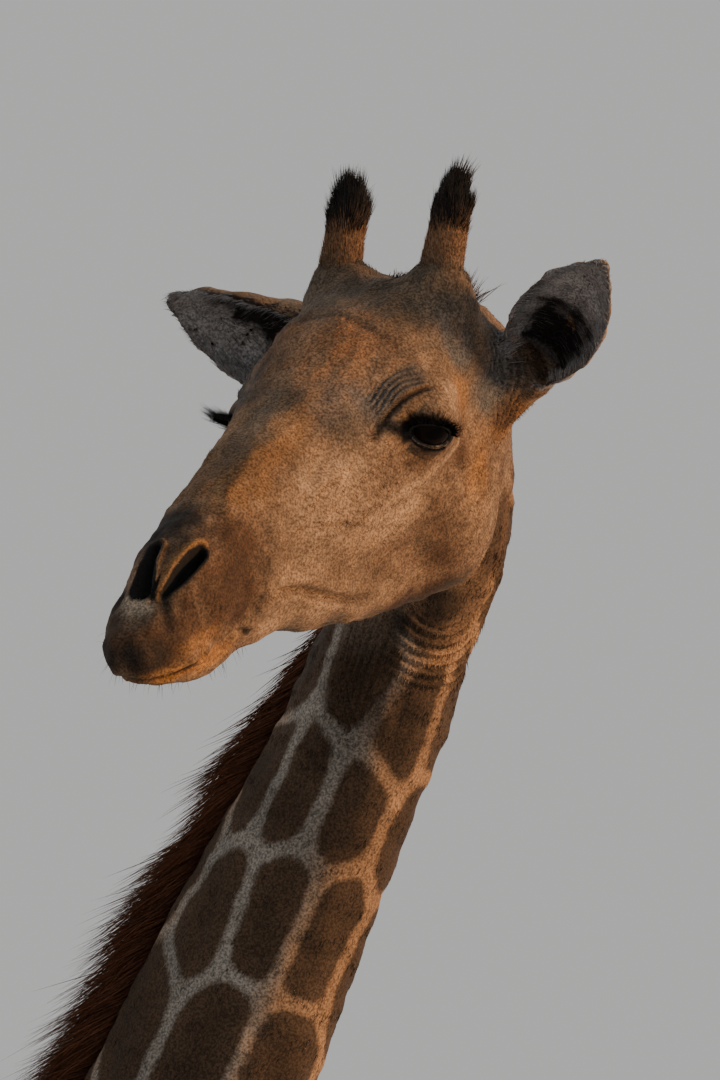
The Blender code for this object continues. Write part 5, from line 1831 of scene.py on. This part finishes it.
class GIRAFFE_OT_face_hair(bpy.types.Operator):
    """Add lashes, whiskers and the long hair within the ears"""

    bl_idname = "giraffe.face_hair"
    bl_label = "Face hair"

    def execute(self, context):
        colours, longest = colours_of(context.scene), context.scene.giraffe_coat.lash_length
        material = hair_material("long_hair", 0.45, 0)
        for side, word in SIDES.items():
            self.add_lashes(side, word, longest, colours["black"], material)
        surface = surface_of(bpy.data.objects["skin"].data)
        self.add_whiskers(surface, colours["soot"], material)
        self.add_ear_hair(surface, colours, material)
        return {"FINISHED"}

    def add_lashes(self, side, word, longest, tint, material):
        """Lashes along both lids: long ones above, short ones below."""
        rng = np.random.default_rng(60 + side)
        shares = rng.uniform(-1, 1, UPPER_LASHES), rng.uniform(-0.8, 0.8, LOWER_LASHES)
        shares = np.concatenate(shares)
        count = len(shares)
        upper = np.arange(count) < UPPER_LASHES
        _, above, below = lid_edges(shares)
        height = np.radians(np.where(upper, above + 3.0, below - 3.0))
        bearing = np.radians(LIDS_MIDDLE + LIDS_HALF * shares)
        level = np.cos(height)
        out = xyz(level * np.cos(bearing), level * np.sin(bearing), np.sin(height))
        roots = (EYE + out * (LID_RADIUS - 0.0032)) * (1, side, 1)
        roots = roots + np.where(upper, rng.uniform(0.0, 0.0035, count), 0.0)[:, None] * UP
        out = out * (1, side, 1)
        down = np.where(upper, -0.12, -0.45)[:, None] * UP
        ways = unit(out + down + rng.normal(0, 0.14, roots.shape))
        long = np.where(upper, longest * (1.0 - 0.35 * np.square(shares)), 0.007)
        long *= rng.uniform(0.45, 1.1, count)
        chart = np.stack((0.5 + 0.45 * shares, np.where(upper, 0.7, 0.3)), 1)
        add_hair(
            "lashes_" + word, material, "dark_hair", chart, from_head(roots), ways @ TURN.T,
            TURN @ UP, long, 0.001, (0.5 * UP + 0.05 * out) @ TURN.T, 3, tint,
        )

    def add_whiskers(self, surface, tint, material):
        """Stiff hairs on the lips and the chin."""
        rng = np.random.default_rng(77)
        side = folded(to_head(surface[0]))
        where = bump_at(side, (600, 20, -110), (60, 50, 30))
        where += 0.8 * bump_at(side, (500, 20, -130), (60, 50, 30))
        where += 0.25 * bump_at(side, (600, 30, -60), (50, 40, 40))
        where[bare(surface[0])] = 0
        roots, tops = scattered(surface, np.where(where > 0.05, where, 0.0), 150, rng)
        ways = unit(tops + np.array((0.25, 0, -0.35)) @ TURN.T + rng.normal(0, 0.22, roots.shape))
        long = rng.uniform(0.005, 0.015, len(roots))
        add_hair(
            "whiskers", material, "dark_hair", head_chart(roots), roots, ways,
            unit(np.cross(np.cross(ways, UP), ways)), long, 0.0005, -0.2 * UP, 2, tint,
        )

    def add_ear_hair(self, surface, colours, material):
        """Long hairs that cross the cup of each ear and edge its rim."""
        rng = np.random.default_rng(88)
        ears = ear_nearness(surface[0])
        inside = ears["on"] * ears["inside"] * (ears["share"] > 0.1)
        edge = eased(ears["rim"], 0.7, 0.95) * (1 - 0.6 * ears["share"])
        roots, tops = scattered(surface, inside * (0.1 + 1.6 * edge), thinned(3600), rng)
        here = ear_nearness(roots)
        ways = np.zeros_like(roots)
        for side, ear in EARS.items():
            spine = ear.sheet[:, ear.sheet.shape[1] // 2]
            nearest = spine[(here["share"] * (len(spine) - 1)).astype(int)] + 0.012 * ear.opening
            inward = unit(nearest - to_head(roots))
            way = unit(inward * 0.55 + unit(ear.way) * 0.75 + 0.15 * ear.opening) @ TURN.T
            ways = np.where((here["side"] == side)[:, None], way, ways)
        ways = unit(ways + 0.15 * tops + rng.normal(0, 0.12, ways.shape))
        long = rng.uniform(0.01, 0.022, len(roots)) * (1 - 0.4 * here["share"])
        pale = rng.random(len(roots)) < 0.97
        tint = np.where(pale[:, None], colours["ear"] * 0.95, colours["soot"])
        add_hair(
            "ear_hair", material, "ear", ear_chart(here), roots - tops * 0.0005, ways, tops, long,
            0.0008, 0.12 * tops, 3, tint,
        )


class GIRAFFE_OT_tail(bpy.types.Operator):
    """Hang the long black tassel at the end of the tail"""

    bl_idname = "giraffe.tail"
    bl_label = "Tail tassel"

    def execute(self, context):
        rng = np.random.default_rng(5)
        count = thinned(1700)
        heights = rng.uniform(1.19, 1.36, count)
        back, radius = smooth(TAIL_SLICES, heights)
        turn = rng.uniform(-math.pi, math.pi, count)
        out = xyz(np.cos(turn), 0.9 * np.sin(turn), 0)
        roots = xyz(TAIL_ROOT + back, 0, heights) + SHIFT + out * (radius - 0.004)[:, None]
        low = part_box("tail_tassel")[0].z + 0.004
        long = (heights - low) * rng.uniform(0.45, 1, count) ** 0.6
        ways = out * rng.uniform(0.02, 0.11, (count, 1)) - UP + rng.normal(0, 0.018, (count, 3))
        bends = -0.055 * out * rng.uniform(0.2, 1.4, (count, 1))
        bends = bends + rng.normal(0, 0.014, (count, 3)) * (1, 1, 0)
        tint = colours_of(context.scene)["brush"] * rng.uniform(0.8, 2.2, (count, 1))
        chart = round_chart(out[:, 1], out[:, 0], (heights - 1.1) / 0.3)
        add_hair(
            "tassel", hair_material("tassel", 0.5, 0.1), "dark_hair", chart, roots, unit(ways), out,
            long, rng.uniform(0.0025, 0.0045, count), bends, 7, tint, nodes=("tail_tassel",), flat=0.5,
        )
        return {"FINISHED"}


class GIRAFFE_OT_claws(bpy.types.Operator):
    """Give the frame's claws the look of worn horn"""

    bl_idname = "giraffe.claws"
    bl_label = "Claws"

    def execute(self, context):
        material = claw_material(colours_of(context.scene))
        for name, node in frame["nodes"].items():
            if name.startswith("claw_"):
                node.material_slots[0].material = material
        return {"FINISHED"}


# ---- Stage ----
FLOOR_RADIUS = 70
VIEW_RISE = math.radians(-2.4)
LENS, SENSOR = 600, 36
VIEW_SPAN = 1.0358  # height of the view at the head
VIEW_ASIDE, VIEW_BELOW = 0.0892, 0.158  # the view's middle from the poll


def aimed(name, data, bearing, rise, middle, reach):
    """A lamp or camera that looks at a middle from this bearing and height, at this distance."""
    level = math.cos(rise)
    back = Vector((math.sin(bearing) * level, -math.cos(bearing) * level, math.sin(rise)))
    found = linked(name, data)
    found.location = middle + back * reach
    found.rotation_mode = "QUATERNION"
    found.rotation_quaternion = back.to_track_quat("Z", "Y")
    return found


def add_sun(name, bearing, rise, strength, colour, spread):
    """Sunlight that comes from this bearing, counted as the camera's is."""
    light = bpy.data.lights.new(name, "SUN")
    light.energy, light.color, light.angle = strength, colour, math.radians(spread)
    aimed(name, light, math.radians(bearing), math.radians(rise), Vector(), 12)


class GIRAFFE_OT_stage(bpy.types.Operator):
    """Add the pale floor, the room's light, the lamps and the camera"""

    bl_idname = "giraffe.stage"
    bl_label = "Stage"

    def execute(self, context):
        settings = context.scene.giraffe_stage
        pale = colours_of(context.scene)["floor"]
        bm = bmesh.new()
        bmesh.ops.create_circle(bm, cap_ends=True, segments=128, radius=FLOOR_RADIUS)
        floor = linked("floor", mesh_of(bm, "floor"))
        finish = Finish("floor", specular_ior_level=0.2)
        cloud = finish.noise(finish.place(), 1.5, 4)
        colour = finish.mix(finish.between(cloud, 0.3, 0.7), pale * 0.96, pale)
        floor.data.materials.append(finish.feed(base_color=colour, roughness=0.75 + 0.1 * cloud))
        world = bpy.data.worlds.new("room")
        world.use_nodes = True
        room = world.node_tree.nodes["Background"]
        room.inputs["Color"].default_value = (*settings.room, 1)
        room.inputs["Strength"].default_value = settings.fill
        context.scene.world = world
        add_sun("key", 105, 9, settings.key, (1, 0.57, 0.27), 12)
        add_sun("window", 68, 32, 0.16, (1, 0.97, 0.93), 6)
        right = Vector((math.cos(VIEW_BEARING), math.sin(VIEW_BEARING), 0))
        middle = Vector(POLL + SHIFT) - right * VIEW_ASIDE - Vector((0, 0, VIEW_BELOW))
        data = bpy.data.cameras.new("view")
        data.lens, data.sensor_fit, data.sensor_height = LENS, "VERTICAL", SENSOR
        data.clip_end = 400
        reach = VIEW_SPAN * LENS / SENSOR
        context.scene.camera = aimed("view", data, VIEW_BEARING, VIEW_RISE, middle, reach)
        return {"FINISHED"}


OPERATORS = (
    GIRAFFE_OT_skin, GIRAFFE_OT_eyes, GIRAFFE_OT_horns, GIRAFFE_OT_coat, GIRAFFE_OT_mane,
    GIRAFFE_OT_face_hair, GIRAFFE_OT_tail, GIRAFFE_OT_claws, GIRAFFE_OT_stage,
)


class VIEW3D_PT_giraffe(bpy.types.Panel):
    """The giraffe's pieces and settings"""

    bl_label = "Giraffe"
    bl_space_type = "VIEW_3D"
    bl_region_type = "UI"
    bl_category = "Giraffe"

    def draw(self, context):
        for operator in OPERATORS:
            self.layout.operator(operator.bl_idname)
        for name in SETTINGS:
            settings = getattr(context.scene, name)
            box = self.layout.box()
            for setting in type(settings).__annotations__:
                box.prop(settings, setting)


SETTINGS = {
    "giraffe_skin": GiraffeSkinSettings,
    "giraffe_coat": GiraffeCoatSettings,
    "giraffe_colours": GiraffeColours,
    "giraffe_stage": GiraffeStageSettings,
}


def register():
    for part in (*SETTINGS.values(), *OPERATORS, VIEW3D_PT_giraffe):
        bpy.utils.register_class(part)
    for name, settings in SETTINGS.items():
        setattr(bpy.types.Scene, name, bpy.props.PointerProperty(type=settings))


def unregister():
    for name in SETTINGS:
        delattr(bpy.types.Scene, name)
    for part in (VIEW3D_PT_giraffe, *OPERATORS, *SETTINGS.values()):
        bpy.utils.unregister_class(part)


def main():
    register()
    for operator in OPERATORS:
        group, name = operator.bl_idname.split(".")
        getattr(getattr(bpy.ops, group), name)()


if __name__ == "__main__":
    main()
